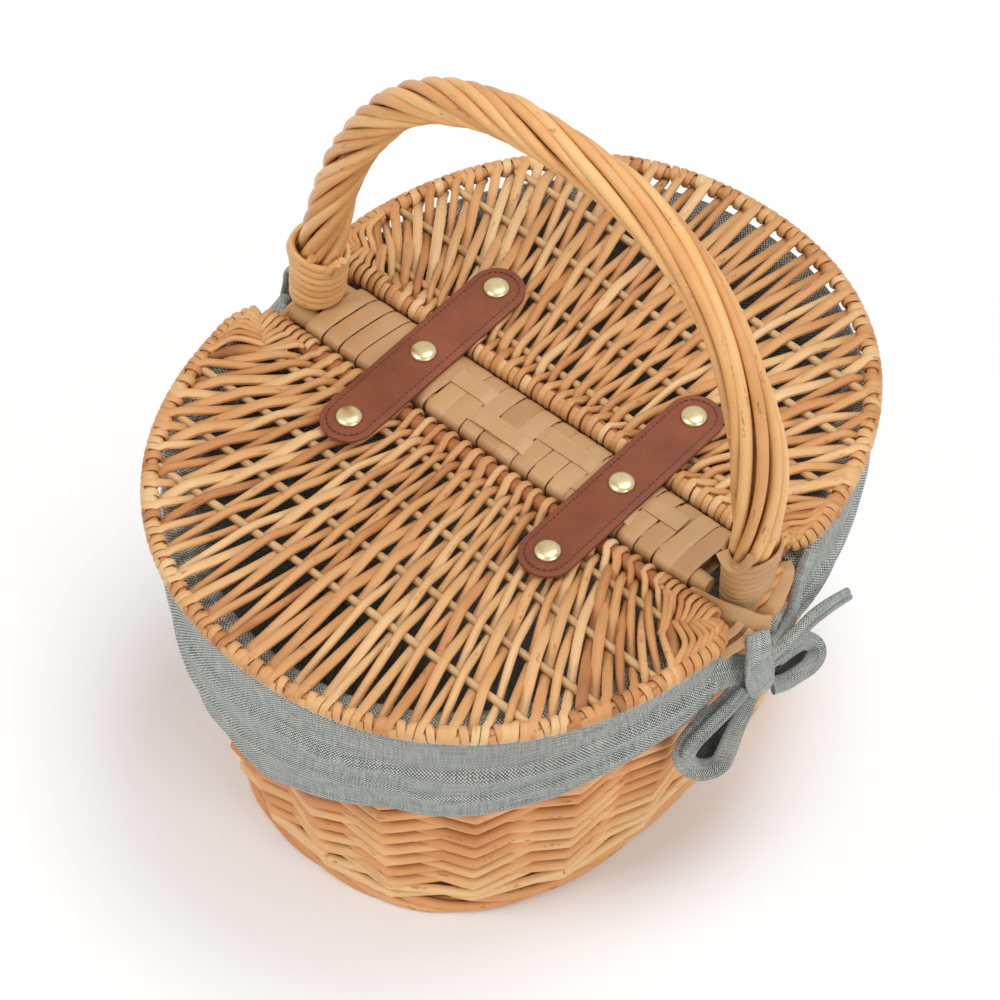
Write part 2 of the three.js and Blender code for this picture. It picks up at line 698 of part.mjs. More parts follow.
function buildBar() {
  const shankHoles = strapPlaces().map((x) => {
    return pin(x, STRAP_SHIFT, BAR_WRAP_BOTTOM - GAP, LID_TOP + GAP, SHANK_RADIUS + PLAY);
  });
  const barRod = (y, reach) => {
    const end = (x) => new THREE.Vector3(x, y, BAR_LEVEL);
    return rod([end(-reach), end(reach)], BAR_ROD_RADIUS, BAR_ROD_SIDES);
  };
  const reach = RIM_HALF_X - BORDER_RADIUS + BAR_OVERHANG;
  addPiece("bar_rod_front", barRod(-BAR_ROD_PITCH, reach), "willow");
  addPiece("bar_rod_middle", cut(barRod(0, BAR_MIDDLE_END), shankHoles), "willow");
  addPiece("bar_rod_back", barRod(BAR_ROD_PITCH, reach), "willow");
  addPiece("bar_winding", cut(barWinding(), shankHoles), "skein");

  const pitch = SKEIN_WIDTH + SKEIN_GAP;
  const windingEnd = (BAR_TURNS * pitch + SKEIN_WIDTH) / 2;
  addPiece("bar_band_left", barBand(-windingEnd - SKEIN_GAP - BAR_BAND_WIDTH), "skein");
  addPiece("bar_band_right", barBand(windingEnd + SKEIN_GAP), "skein");
}

// Handle: the core, the rope of rods round it and the winding at each foot.
// The rope's ends are cut level, so its first and last frames stand upright.
function handleFrames(count) {
  const arch = new HandleArch();
  arch.arcLengthDivisions = ARC_DIVISIONS;
  const points = arch.getSpacedPoints(count);
  const acrossPlane = new THREE.Vector3(0, 1, -HANDLE_LEAN).normalize();
  return points.map((point, i) => {
    const before = points[Math.max(i - 1, 0)];
    const after = points[Math.min(i + 1, count)];
    const along = new THREE.Vector3().subVectors(after, before).normalize();
    if (i === 0 || i === count) {
      along.set(0, 0, i === 0 ? 1 : -1);
    }
    const outward = new THREE.Vector3().crossVectors(along, acrossPlane).normalize();
    return { point, outward, across: new THREE.Vector3().crossVectors(outward, along).normalize() };
  });
}

function ringAt(frame, radii, turn) {
  return radii.map((radius, k) => {
    const angle = (2 * Math.PI * k) / radii.length + turn;
    return frame.point
      .clone()
      .addScaledVector(frame.outward, radius * Math.cos(angle))
      .addScaledVector(frame.across, radius * Math.sin(angle));
  });
}

function handleRope() {
  const lobes = Array.from({ length: 2 * HANDLE_LOBES }, (_, k) => {
    return HANDLE_RADIUS - (k % 2) * HANDLE_LOBE_DEPTH;
  });
  const rings = handleFrames(HANDLE_ROPE_STEPS).map((frame, i) => {
    return ringAt(frame, lobes, (2 * Math.PI * HANDLE_TURNS * i) / HANDLE_ROPE_STEPS);
  });
  return cut(sweep(rings), [rod(coreStations(), HANDLE_CORE_RADIUS + PLAY)]);
}

// A winding round a foot of the handle; section lists [outward, up] for each corner of the strand.
function footWinding(name, footX, section, pitch) {
  const strandHalf = Math.max(...section.map((corner) => corner[0]));
  const strandDrop = Math.max(...section.map((corner) => corner[1]));
  const rings = [];
  const flatToCorner = 1 / Math.cos(Math.PI / FOOT_WRAP_STEPS);
  for (let i = 0; i <= FOOT_WRAP_TURNS * FOOT_WRAP_STEPS; i += 1) {
    const share = i / (FOOT_WRAP_TURNS * FOOT_WRAP_STEPS);
    const angle = (2 * Math.PI * i) / FOOT_WRAP_STEPS;
    const bulge = FOOT_WRAP_BULGE * Math.sin(Math.PI * share);
    const radius = (HANDLE_RADIUS + PLAY) * flatToCorner + strandHalf + bulge;
    const z = HANDLE_FOOT + strandDrop + (pitch * i) / FOOT_WRAP_STEPS;
    const centre = footCentre(footX, z);
    rings.push(
      section.map(([out, up]) => {
        const reach = radius + out;
        return new THREE.Vector3(
          centre.x + reach * Math.cos(angle),
          centre.y + reach * Math.sin(angle),
          z + up,
        );
      }),
    );
  }
  printSelfGap(name, rings, FOOT_WRAP_STEPS);
  return sweep(rings);
}

// The handle's centre line at a height near one of its feet.
function footCentre(footX, z) {
  const height = (z - HANDLE_FOOT) / HANDLE_RISE;
  const across = (1 - height ** HANDLE_POWER) ** (1 / HANDLE_POWER);
  const side = footX < HANDLE_MIDDLE ? -1 : 1;
  return new THREE.Vector3(
    HANDLE_MIDDLE + side * HANDLE_SPAN * across + handleShift(height),
    HANDLE_LEAN * HANDLE_RISE * height,
    z,
  );
}

function buildHandle() {
  addPiece("handle_core", rod(coreStations(), HANDLE_CORE_RADIUS), "willow");
  addPiece("handle_rope", handleRope(), "willow");
  const round = flatSided(FOOT_WRAP_ROD, 6).map((corner) => [corner.y, corner.x]);
  const pitch = 2 * FOOT_WRAP_ROD + FOOT_WRAP_GAP;
  addPiece("handle_wrap_left", footWinding("handle_wrap_left", HANDLE_LEFT_X, round, pitch), "willow");
  const flat = [
    [SKEIN_THICK / 2, FOOT_WRAP_ROD],
    [-SKEIN_THICK / 2, FOOT_WRAP_ROD],
    [-SKEIN_THICK / 2, -FOOT_WRAP_ROD],
    [SKEIN_THICK / 2, -FOOT_WRAP_ROD],
  ];
  addPiece("handle_wrap_right", footWinding("handle_wrap_right", HANDLE_RIGHT_X, flat, pitch), "skein");
}

// Straps in three lengths that meet at the flex lines, with a rivet and its cap at each stud.
function strapPlaces() {
  return [STRAP_LEFT_X, STRAP_RIGHT_X];
}

function pin(x, y, bottom, top, radius) {
  const geometry = new THREE.CylinderGeometry(radius, radius, top - bottom, 8).rotateX(Math.PI / 2);
  return geometry.translate(x, y, (top + bottom) / 2);
}

function strapLength(x, side) {
  const half = STRAP_WIDTH / 2;
  const shape = new THREE.Shape();
  if (side === 0) {
    shape.moveTo(x - half, -HINGE_Y + GAP / 2);
    shape.lineTo(x + half, -HINGE_Y + GAP / 2);
    shape.lineTo(x + half, HINGE_Y - GAP / 2);
    shape.lineTo(x - half, HINGE_Y - GAP / 2);
  } else {
    const studY = side * STUD_SPACING + STRAP_SHIFT;
    const start = side * (HINGE_Y + GAP / 2);
    shape.moveTo(x - side * half, start);
    shape.lineTo(x + side * half, start);
    shape.absarc(x, studY, half, side > 0 ? 0 : Math.PI, side > 0 ? Math.PI : 2 * Math.PI, false);
  }
  const depth = STRAP_THICK;
  const geometry = new THREE.ExtrudeGeometry(shape, { depth, bevelEnabled: false, curveSegments: 12 });
  geometry.translate(0, 0, STRAP_BOTTOM);
  const hole = pin(
    x,
    side * STUD_SPACING + STRAP_SHIFT,
    STRAP_BOTTOM - GAP,
    STRAP_TOP + GAP,
    SHANK_RADIUS + PLAY,
  );
  return cut(geometry, [hole]);
}

function stud(bottom) {
  const seat = STRAP_TOP + GAP;
  const profile = [
    [0, bottom],
    [SHANK_RADIUS, bottom],
    [SHANK_RADIUS, seat],
    [STUD_RADIUS, seat],
    [STUD_RADIUS, seat + 0.2 * STUD_HEIGHT],
    [0.6 * STUD_RADIUS, seat + 0.8 * STUD_HEIGHT],
    [0, seat + STUD_HEIGHT],
  ];
  const points = profile.map(([radius, z]) => new THREE.Vector2(radius, z));
  return new THREE.LatheGeometry(points, STUD_FACETS).rotateX(Math.PI / 2);
}

function backCap(seat) {
  const hole = SHANK_RADIUS + PLAY;
  const profile = [
    [hole, seat - CAP_THICK],
    [CAP_RADIUS, seat - CAP_THICK],
    [CAP_RADIUS, seat],
    [hole, seat],
    [hole, seat - CAP_THICK],
  ];
  const points = profile.map(([radius, z]) => new THREE.Vector2(radius, z));
  return new THREE.LatheGeometry(points, STUD_FACETS).rotateX(Math.PI / 2);
}

function buildStraps() {
  const lengths = [
    ["front", -1, LID_BOTTOM - GAP],
    ["centre", 0, BAR_WRAP_BOTTOM - GAP],
    ["back", 1, LID_BOTTOM - GAP],
  ];
  for (const [sideName, x] of [
    ["left", STRAP_LEFT_X],
    ["right", STRAP_RIGHT_X],
  ]) {
    for (const [lengthName, side, capSeat] of lengths) {
      const y = side * STUD_SPACING + STRAP_SHIFT;
      addPiece(`strap_${sideName}_${lengthName}`, strapLength(x, side), "leather");
      const rivet = addPiece(`stud_${sideName}_${lengthName}`, stud(capSeat - CAP_THICK), "brass");
      rivet.position.set(x, y, 0);
      const cap = addPiece(`stud_cap_${sideName}_${lengthName}`, backCap(capSeat), "brass");
      cap.position.set(x, y, 0);
    }
  }
}

// Bows, built at the right end and turned half round for the left end.
// Shapes lie in a plane with y across and z up, and are as thick as TIE_THICK.
function flatPiece(outline, middleX, hole) {
  const shape = hole ? shapeWithHole(outline, hole) : new THREE.Shape(outline);
  const geometry = new THREE.ExtrudeGeometry(shape, { depth: TIE_THICK, bevelEnabled: false });
  const upright = new THREE.Matrix4().makeBasis(
    new THREE.Vector3(0, 1, 0),
    new THREE.Vector3(0, 0, 1),
    new THREE.Vector3(1, 0, 0),
  );
  return geometry.applyMatrix4(upright).translate(middleX - TIE_THICK / 2, 0, 0);
}

function strip(from, to, width, middleX) {
  const along = new THREE.Vector2().subVectors(to, from).normalize();
  const side = new THREE.Vector2(-along.y, along.x).multiplyScalar(width / 2);
  const corners = [from.clone().sub(side), to.clone().sub(side), to.clone().add(side), from.clone().add(side)];
  return flatPiece(corners, middleX);
}

// A loop of tape from one point to the far end of its bend, wide there and narrow at the knot.
function tapeLoop(from, to, width, tape, middleX) {
  const along = new THREE.Vector2().subVectors(to, from);
  const length = along.length();
  along.normalize();
  const side = new THREE.Vector2(-along.y, along.x);
  const drop = (inset) => {
    const points = [];
    for (let k = 0; k < LOOP_STEPS; k += 1) {
      const turn = (2 * Math.PI * k) / LOOP_STEPS;
      const run = inset + ((length - 2 * inset) * (1 - Math.cos(turn))) / 2;
      const half = (width / 2 - inset) * Math.sin(turn) * Math.sin(turn / 2) ** 0.6;
      points.push(from.clone().addScaledVector(along, run).addScaledVector(side, half));
    }
    return points;
  };
  return flatPiece(drop(0), middleX, drop(tape));
}

// The sewn end of a tie: a pad from the cuff's face beside the slit out to the plane of the bow.
function tieSeat(side, middleX) {
  const corners = [
    [0, -1],
    [TIE_SEAT_STEPS, -1],
    [TIE_SEAT_STEPS, 1],
    [0, 1],
  ];
  const onCuff = corners.map(([past, up]) => {
    const z = BOW_LEVEL + TIE_STRIP_RISE + (up * TIE_WIDTH) / 2;
    return cuffFace(side * (CUFF_SLIT_STEPS + past) * RING_STEP, z, GAP);
  });
  return sweep([onCuff, onCuff.map((point) => new THREE.Vector3(middleX, point.y, point.z))]);
}

function buildBow(endName, turn) {
  const middleX = wallPoint(0, BOW_LEVEL, -CUFF_PROUD - CLOTH - GAP).x + TIE_THICK / 2 + KNOT_WALL;
  const at = (y, z) => new THREE.Vector2(y, BOW_LEVEL + z);
  const half = KNOT_LENGTH / 2;
  const out = half + TIE_WAIST / 3;
  const waist = (side) => strip(at(side * GAP, 0), at(side * (out + 1), 0), TIE_WAIST - 1, middleX);
  const front = join([
    waist(-1),
    strip(at(-out, 0), at(-CUFF_SLIT * (1 + TIE_SEAT_STEPS), TIE_STRIP_RISE), TIE_WIDTH, middleX),
    tieSeat(-1, middleX),
    tapeLoop(at(-out, 0), at(...FRONT_LOOP.end), FRONT_LOOP.width, TIE_TAPE, middleX),
    strip(at(-out, 0), at(...FRONT_TAIL), TIE_WIDTH, middleX),
  ]);
  const back = join([
    waist(1),
    strip(at(out, 0), at(CUFF_SLIT * (1 + TIE_SEAT_STEPS), TIE_STRIP_RISE), TIE_WIDTH, middleX),
    tieSeat(1, middleX),
    tapeLoop(at(out, 0), at(...BACK_LOOP.end), BACK_LOOP.width, TIE_TAPE, middleX),
    strip(at(out, 0), at(...BACK_TAIL), TIE_WIDTH, middleX),
  ]);
  addPiece(`tie_${endName}_front`, front, "linen").rotation.z = turn;
  addPiece(`tie_${endName}_back`, back, "linen").rotation.z = turn;

  const open = { x: TIE_THICK / 2 + GAP, z: TIE_WAIST / 2 + GAP };
  const frame = (grow) => {
    const [x, z] = [open.x + grow, open.z + grow];
    return [
      [-x + KNOT_CHAMFER, -z],
      [x - KNOT_CHAMFER, -z],
      [x, -z + KNOT_CHAMFER],
      [x, z - KNOT_CHAMFER],
      [x - KNOT_CHAMFER, z],
      [-x + KNOT_CHAMFER, z],
      [-x, z - KNOT_CHAMFER],
      [-x, -z + KNOT_CHAMFER],
    ].map(([u, v]) => new THREE.Vector2(u, v));
  };
  const opening = [
    [-open.x, -open.z],
    [open.x, -open.z],
    [open.x, open.z],
    [-open.x, open.z],
  ].map(([u, v]) => new THREE.Vector2(u, v));
  const shape = shapeWithHole(frame(KNOT_WALL), opening);
  const knot = new THREE.ExtrudeGeometry(shape, { depth: KNOT_LENGTH, bevelEnabled: false });
  knot.rotateX(Math.PI / 2).translate(middleX, half, BOW_LEVEL);
  addPiece(`tie_${endName}_knot`, knot, "linen").rotation.z = turn;
}

buildBody();
buildLiner();
buildLid("lid_front", -1);
buildLid("lid_back", 1);
buildBar();
buildHandle();
buildStraps();
buildBow("right", 0);
buildBow("left", Math.PI);

export default basket;
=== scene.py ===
"""The looks of a willow picnic basket: rods, weaving, lids, handle, cloth liner, leather straps, studs.

Lengths are in millimetres in the helpers and become metres where a piece is made.
"""

import math
import random

import bmesh
import bpy
import numpy as np
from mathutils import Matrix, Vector


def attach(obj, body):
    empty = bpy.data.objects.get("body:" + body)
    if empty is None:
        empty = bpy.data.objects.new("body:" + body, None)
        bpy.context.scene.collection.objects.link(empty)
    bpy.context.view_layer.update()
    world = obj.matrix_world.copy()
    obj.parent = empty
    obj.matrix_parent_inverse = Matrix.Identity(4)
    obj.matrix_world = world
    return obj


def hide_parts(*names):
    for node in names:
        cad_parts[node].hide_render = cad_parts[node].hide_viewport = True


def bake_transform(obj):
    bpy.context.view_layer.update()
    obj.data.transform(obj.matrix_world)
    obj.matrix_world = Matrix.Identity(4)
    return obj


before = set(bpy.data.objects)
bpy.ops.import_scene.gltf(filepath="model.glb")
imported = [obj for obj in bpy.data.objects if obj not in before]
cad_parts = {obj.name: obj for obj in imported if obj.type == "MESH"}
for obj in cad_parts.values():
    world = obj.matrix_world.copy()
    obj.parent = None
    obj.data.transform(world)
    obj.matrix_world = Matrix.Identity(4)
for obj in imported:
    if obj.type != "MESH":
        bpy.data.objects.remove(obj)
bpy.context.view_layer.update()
MM = 0.001
UP = (0, 0, 1)
# The way from the basket to the photograph's view.
TO_VIEW = (0.41, -0.47, 0.78)

# Body: half sizes and fullness of its outline on the ground and at RIM_LEVEL.
FOOT_HALF = (110, 153)
RIM_HALF = (148, 184)
FOOT_POWER = 2.5
RIM_POWER = 2.15
RIM_LEVEL = 190
STAKES = 20
STAKE_STEP = 2 * math.pi / STAKES
FIRST_STAKE = 0.25
STAKE_RADIUS = 2.0
# The stakes' inset from the outer surface, and how far the weavers pass outside and inside of them.
WALL_MIDDLE = 5.5
WALL_WAVE = (5.0, 4.5)
WEAVE_BOTTOM = 28.5
WEAVE_TOP = 175
ROW_PITCH = 5.9
ROW_RADIUS = 3.1
WALE_ROWS = 3
WALE_BOTTOM = 14.6
WALE_PITCH = 4.4
# The waling's inset outside of two stakes and inside of the third.
WALE_INSET = (1.0, 7.6)
BASE_LEVEL = 17
BASE_HALF = (101, 143)
BASE_PITCH = 4.4
BASE_CENTRE_INSET = 96
BORDER_LEVEL = 184
BORDER_RADIUS = 7
BORDER_PLAITS = 5
BORDER_TURNS = 14
PLAIT_RADIUS = 2.6
FOOT_ROD_RADIUS = 2.9
# A stake's end in the foot, as stakes on from its own, level and inset.
FOOT_WAY = [(-0.25, 13, 7.0), (0.25, 10, 3.6), (0.9, 4.6, 2.8), (1.6, 3.2, 2.9), (2.3, 3.2, 5.6),
            (3.0, 6.2, 9.0), (3.6, 9.0, 10.5)]

# Liner.
CUFF_SLIT = 0.155
CUFF_TOP = 192.4
CUFF_THICK = 1.3
HEM = {"low": 112, "rise": 14, "sag": 30}
# The cloth swells under the front lid's left end: its angle from the left end, its spread and its size.
SWELL = (0.42, 0.26, 12)
BAG_TOP = 174
BAG_BOTTOM = 24.6
BAG_THICK = 0.9

# Lids.
LID_LEVEL = 198.5
LID_HALF_X = 147
LID_DEPTH = 163
LID_POWER = 2.13
LID_OVAL_Y = 23
LID_CORNER = math.radians(9)
# The rim rod's corner beside the hinge rod, from far to near, as [x, outward].
LID_CORNERS = {-1: [(147, 44), (146.5, 34), (143, 27)], 1: [(145.5, 44), (143, 33), (138, 27)]}
# How much wider each lid is than its oval: at the left, at the left's far end and at the right.
LID_SPREAD = {-1: (1.02, 1.055, 1.03), 1: (1.0, 1.0, 0.985)}
HINGE_OUTWARD = 26.85
HINGE_ROD_RADIUS = 4.0
HINGE_ROD_REACH = 141
RIM_ROD_RADIUS = 3.0
STICK_RADIUS = 2.0
STICKS_OUTWARD = [41, 70, 99, 128]
LID_WEAVERS = 58
WEAVER_THICK = 2.05
WEAVERS_REACH = 110
RIM_FROM_CORNER = 34
# A weaver's step along its way, its bow in plan as a share of its length, and where its way leaves the
# turns at its ends.
WEAVER_STEP = 2.4
WEAVER_BOW = 0.06
TURN_CLEARANCE = 3.6
# The degrees of its turn round the rim rod, from over or from under it, and how far it runs on meanwhile.
RIM_TURN = {True: (118, -408), False: (-118, 402)}
RIM_TURN_RUN = 6.2
# Rods in the corners of a lid, as x and outward: from the hinge rod inwards, and from there to the rim.
CORNER_LOOPS = [(111.4, 126.2, 44.8), (115.6, 127.9, 44.4), (119.8, 124.2, 35.5), (124.2, 129.3, 37.8),
                (128.6, 132.3, 38.5), (132.8, 134.2, 38), (136.6, 136.6, 36.6), (140, 139.6, 34)]
CORNER_ENDS = [(131.9, 42, 61), (134.8, 39.7, 56), (138.3, 37.8, 51), (137.4, 35.2, 46),
               (139.4, 33.4, 41), (140, 31.8, 36.4), (140.6, 30, 32.4)]

# Bar: its rods as [y, half length], and its winding with the turns that no band passes through.
BAR_LEVEL = 196.85
BAR_HALF = (18.2, 6.35)
BAR_POWER = 3.4
BAR_RODS = [(-11.4, 127), (0, 116), (11.4, 127)]
BAR_ROD_RADIUS = 5.3
BAR_TURNS = 22
BAR_PITCH = 10.9
BAR_PLAIN_TURNS = 7
SKEIN_HALF_THICK = 0.6

# Handle: its arch, and its twist as turns a length at shares of that length.
HANDLE_FEET = (-131, 140)
HANDLE_FOOT_LEVEL = 204.2
HANDLE_RISE = 200
HANDLE_POWER = 2.4
HANDLE_SHIFT = 10
HANDLE_LEAN = 0.04
HANDLE_RODS = 9
HANDLE_ROD_RADIUS = 2.85
HANDLE_CORE_RADIUS = 5.6
HANDLE_TWIST_RADIUS = 8.1
HANDLE_TWIST = [(0, 3.2), (0.4, 3.9), (0.55, 2.6), (0.7, 1.0), (0.85, 1.1), (1, 2.4)]
# The way, x and y, in which the turns round the handle's feet are tilted.
TILT_WAY = (0.757, 0.653)

# Straps and studs. The profile is [radius, height] over the leather, from the dome to the shank.
STRAP_X = {"left": -64, "right": 61}
STRAP_MIDDLE_Y = 3
STRAP_HALF = 14.2
STRAP_BOTTOM = 204.2
STRAP_THICK = 2.5
STUD_SPACING = 54
SEAM_INSET = 3.2
STITCH_PITCH = 2.9
HINGE_Y = 19.95
FLEX_HALF = 4
STUD_PROFILE = [(0, 2.8), (2.0, 2.75), (3.8, 2.55), (5.1, 2.15), (6.0, 1.5), (6.6, 0.8), (6.5, 0.2),
                (6.0, -0.1), (3.0, -0.1), (1.4, -0.2), (1.4, -15.5), (0, -15.5)]

# Stage, in metres and degrees.
CAMERA = {"azimuth": 40.79, "elevation": 51.346, "target": (-0.0318, 0.0223, 0.1), "distance": 2.3983}
# Painted light: the floor's camera-only glow grows with distance from this point, front-left of the
# basket, so the floor's real shadow shows only round it.
SHADOW_MIDDLE = (-0.05, -0.09, 0)
SKY_STRENGTH = 0.47
# Each lamp's place, target, size and power.
LAMPS = {
    "key": ((-0.8, -1.7, 2.2), (0, 0, 0.15), 1.2, 26),
    "top": ((0.3, 0.7, 2.8), (0, 0, 0.1), 1.5, 34),
    "fill": ((2.2, -0.4, 1.3), (0, 0, 0.2), 1.4, 21),
}

# The bow at the right end: each ribbon's half widths at its start, middle and end, its half thickness,
# the way that its face looks, and its points [x, y, z].
BOW = {
    "low_loop": ((5.2, 5.9, 3.4), 1.3, TO_VIEW, [
        (157, -20, 155), (152, -26, 141), (148, -35, 132), (144, -43, 121.5), (142.5, -45.2, 110),
        (144, -40.2, 97), (148, -34.3, 93), (152, -29, 96), (154, -26.6, 106.2), (156, -24, 121),
        (157, -18.6, 132), (158, -14, 142)]),
    "low_fold": ((1.6, 2.4, 1.8), 1.5, TO_VIEW, [
        (157.6, -21.6, 155.6), (153.4, -28.6, 142.6), (149.6, -37.6, 133.4), (145.6, -45.2, 123),
        (144, -47, 113)]),
    # Painted shade: this ribbon and the side loop's one below are near-black sheets set behind the loops'
    # hollows, darkened through their tone in build_bow.
    "low_lining": ((4, 8.5, 9), 0.8, TO_VIEW, [
        (150, -7, 128), (146, -14, 112), (144, -24.5, 101), (143.5, -31, 93)]),
    "side_loop": ((5.0, 4.8, 4.2), 1.3, TO_VIEW, [
        (157, 4, 153), (154, 19, 142.5), (152, 33, 132), (153, 40.5, 121.5), (156, 38.5, 118.5),
        (159, 29.6, 121.5), (160, 19, 126.2), (160, 9, 130.3), (159.5, -1.1, 136.6)]),
    "side_lining": ((6, 9, 6), 0.8, TO_VIEW, [
        (153, 10, 129), (151, 25, 120), (151, 34, 116.5), (151, 40, 114)]),
    "tail_upper": ((3.6, 2.6, 2.0), 2.0, TO_VIEW, [
        (161, -9, 170), (161, 1.3, 167), (161, 12, 166.5), (160.5, 24, 166.5), (159.5, 40, 161),
        (158, 57, 152)]),
    "tail_lower": ((3.6, 2.6, 2.0), 2.0, TO_VIEW, [
        (161, -8, 163), (161, 2, 160.5), (161, 13, 160.5), (160.5, 25, 161), (159.5, 41, 155.5),
        (158, 59, 146)]),
    "band": ((6.2, 9.4, 6.6), 1.7, (1, -0.2, 0.3), [
        (158.5, -14, 191), (161, -16.5, 184), (162.5, -18, 177), (163, -17, 168), (162, -13.5, 155),
        (161, -10.5, 147), (159, -9, 141)]),
    "front_tie": ((13, 10.5, 7), 1.3, (0.8, -0.6, 0.3), [
        (144, -38, 168), (148, -29, 166), (153, -20, 163), (158, -12, 161)]),
    "back_tie": ((4.6, 4.4, 4.2), 2.6, (0.9, 0.3, 0.3), [
        (150, 36, 197), (151, 28, 188), (152, 23, 177), (153, 19, 166), (155, 10, 163),
        (158, -4, 170)]),
    "back_loop": ((3.2, 3.8, 3.2), 1.2, TO_VIEW, [
        (154, 2, 162), (151, 6, 172), (150, 14, 170), (150, 18, 159), (153, 12, 155), (156, 0, 161)]),
}


# Materials


def srgb(red, green, blue):
    """A screen colour, 0 to 255, as the linear values that nodes take."""
    return tuple(
        (c / 255 / 12.92) if c / 255 <= 0.04045 else ((c / 255 + 0.055) / 1.055) ** 2.4
        for c in (red, green, blue)
    ) + (1.0,)


class Socket:
    """An output of a node, with the arithmetic that a material needs."""

    def __init__(self, look, output):
        self.look = look
        self.output = output

    def math(self, operation, first, second):
        return self.look.node("ShaderNodeMath", {"operation": operation}, {0: first, 1: second})

    def __add__(self, other):
        return self.math("ADD", self, other)

    def __sub__(self, other):
        return self.math("SUBTRACT", self, other)

    def __mul__(self, other):
        return self.math("MULTIPLY", self, other)

    def __gt__(self, other):
        return self.math("GREATER_THAN", self, other)


class Nodes:
    """A node tree, whose nodes are added by the expressions that use them."""

    def __init__(self, owner):
        owner.use_nodes = True
        self.tree = owner.node_tree

    def node(self, kind, settings, inputs, output=0):
        made = self.tree.nodes.new(kind)
        for key, value in settings.items():
            setattr(made, key, value)
        for key, value in inputs.items():
            if isinstance(value, Socket):
                self.tree.links.new(value.output, made.inputs[key])
            else:
                made.inputs[key].default_value = value
        return Socket(self, made.outputs[output])

    def seen(self):
        """1 for a ray from the camera, off a shiny piece or through a clear one, otherwise 0."""
        camera = self.node("ShaderNodeLightPath", {}, {}, "Is Camera Ray")
        outputs = camera.output.node.outputs
        glossy = Socket(self, outputs["Is Glossy Ray"])
        clear = Socket(self, outputs["Is Transmission Ray"])
        return self.node("ShaderNodeClamp", {}, {0: camera + glossy + clear})

    def surface(self, factor, first, second, output):
        mixed = self.node("ShaderNodeMixShader", {}, {0: factor, 1: first, 2: second})
        self.tree.links.new(mixed.output, self.tree.nodes[output].inputs["Surface"])


class Look(Nodes):
    """One material."""

    def __init__(self, name, **fixed):
        self.material = bpy.data.materials.new(name)
        super().__init__(self.material)
        self.shader = self.tree.nodes["Principled BSDF"]
        for socket, value in fixed.items():
            self.shader.inputs[socket.replace("_", " ")].default_value = value

    def feed(self, socket, value):
        self.tree.links.new(value.output, self.shader.inputs[socket])

    def place(self):
        return self.node("ShaderNodeTexCoord", {}, {}, "Object")

    def along(self):
        return self.node("ShaderNodeUVMap", {"uv_map": "UVMap"}, {})

    def tone(self):
        return self.node("ShaderNodeAttribute", {"attribute_name": "tone"}, {}, "Fac")

    def noise(self, vector, scale, detail=2.0, roughness=0.5):
        sizes = {"Vector": vector, "Scale": scale, "Detail": detail, "Roughness": roughness}
        return self.node("ShaderNodeTexNoise", {}, sizes)

    def grain(self, along, scale, detail=2.0, roughness=0.5):
        """Noise drawn out along the piece's own length."""
        stretched = self.node("ShaderNodeMapping", {}, {"Vector": along, "Scale": (*scale, 1.0)})
        return self.noise(stretched, 1.0, detail, roughness)

    def ramp(self, factor, stops):
        made = self.node("ShaderNodeValToRGB", {}, {0: factor}, "Color")
        elements = made.output.node.color_ramp.elements
        while len(elements) < len(stops):
            elements.new(1.0)
        for element, (position, colour) in zip(elements, stops):
            element.position = position
            element.color = srgb(*colour)
        return made

    def mix(self, factor, first, second):
        return self.node("ShaderNodeMix", {"data_type": "RGBA"}, {0: factor, 6: first, 7: second}, 2)

    def bump(self, height, strength, distance):
        sizes = {"Height": height, "Strength": strength, "Distance": distance}
        self.feed("Normal", self.node("ShaderNodeBump", {}, sizes))


DARK_WILLOW = (120, 72, 42)


def willow(name, pale, middle, brown, rough):
    """Steamed willow: each rod has its own tone, with small brown knots and fine lengthwise grain."""
    look = Look(name, Specular_IOR_Level=0.3)
    place = look.place()
    along = look.along()
    shade = look.noise(place, 28.0, 3.0)
    tone = look.tone() + (shade - 0.5) * 0.55
    colour = look.ramp(tone, [(0.05, pale), (0.42, middle), (0.78, brown), (1.0, DARK_WILLOW)])
    streaks = look.grain(along, (90.0, 2200.0), 3.0, 0.6)
    colour = look.mix((streaks - 0.45) * 1.2, colour, srgb(*brown))
    knots = look.grain(along, (55.0, 260.0), 1.0)
    specks = look.noise(place, 420.0, 1.0)
    marks = look.node("ShaderNodeClamp", {}, {0: (knots > 0.66) * ((specks - 0.42) * 4.0)})
    look.feed("Base Color", look.mix(marks * 0.55, colour, srgb(*DARK_WILLOW)))
    look.feed("Roughness", (streaks - 0.5) * 0.3 + rough)
    look.bump(streaks + shade * 0.4, 0.35, 0.0004)
    return look.material


def split_willow():
    """Flat skein: smooth, pale tan, with fibres along its length."""
    look = Look("skein", Specular_IOR_Level=0.5)
    fibres = look.grain(look.along(), (16.0, 1500.0), 3.0, 0.6)
    clouds = look.noise(look.place(), 34.0, 2.0)
    tone = look.tone() * 0.6 + (clouds - 0.3) * 0.7 + (fibres - 0.5) * 0.5
    stops = [(0.0, (196, 154, 108)), (0.5, (180, 134, 88)), (1.0, (154, 106, 64))]
    look.feed("Base Color", look.ramp(tone, stops))
    look.feed("Roughness", fibres * 0.18 + 0.36)
    look.bump(fibres, 0.3, 0.0003)
    return look.material


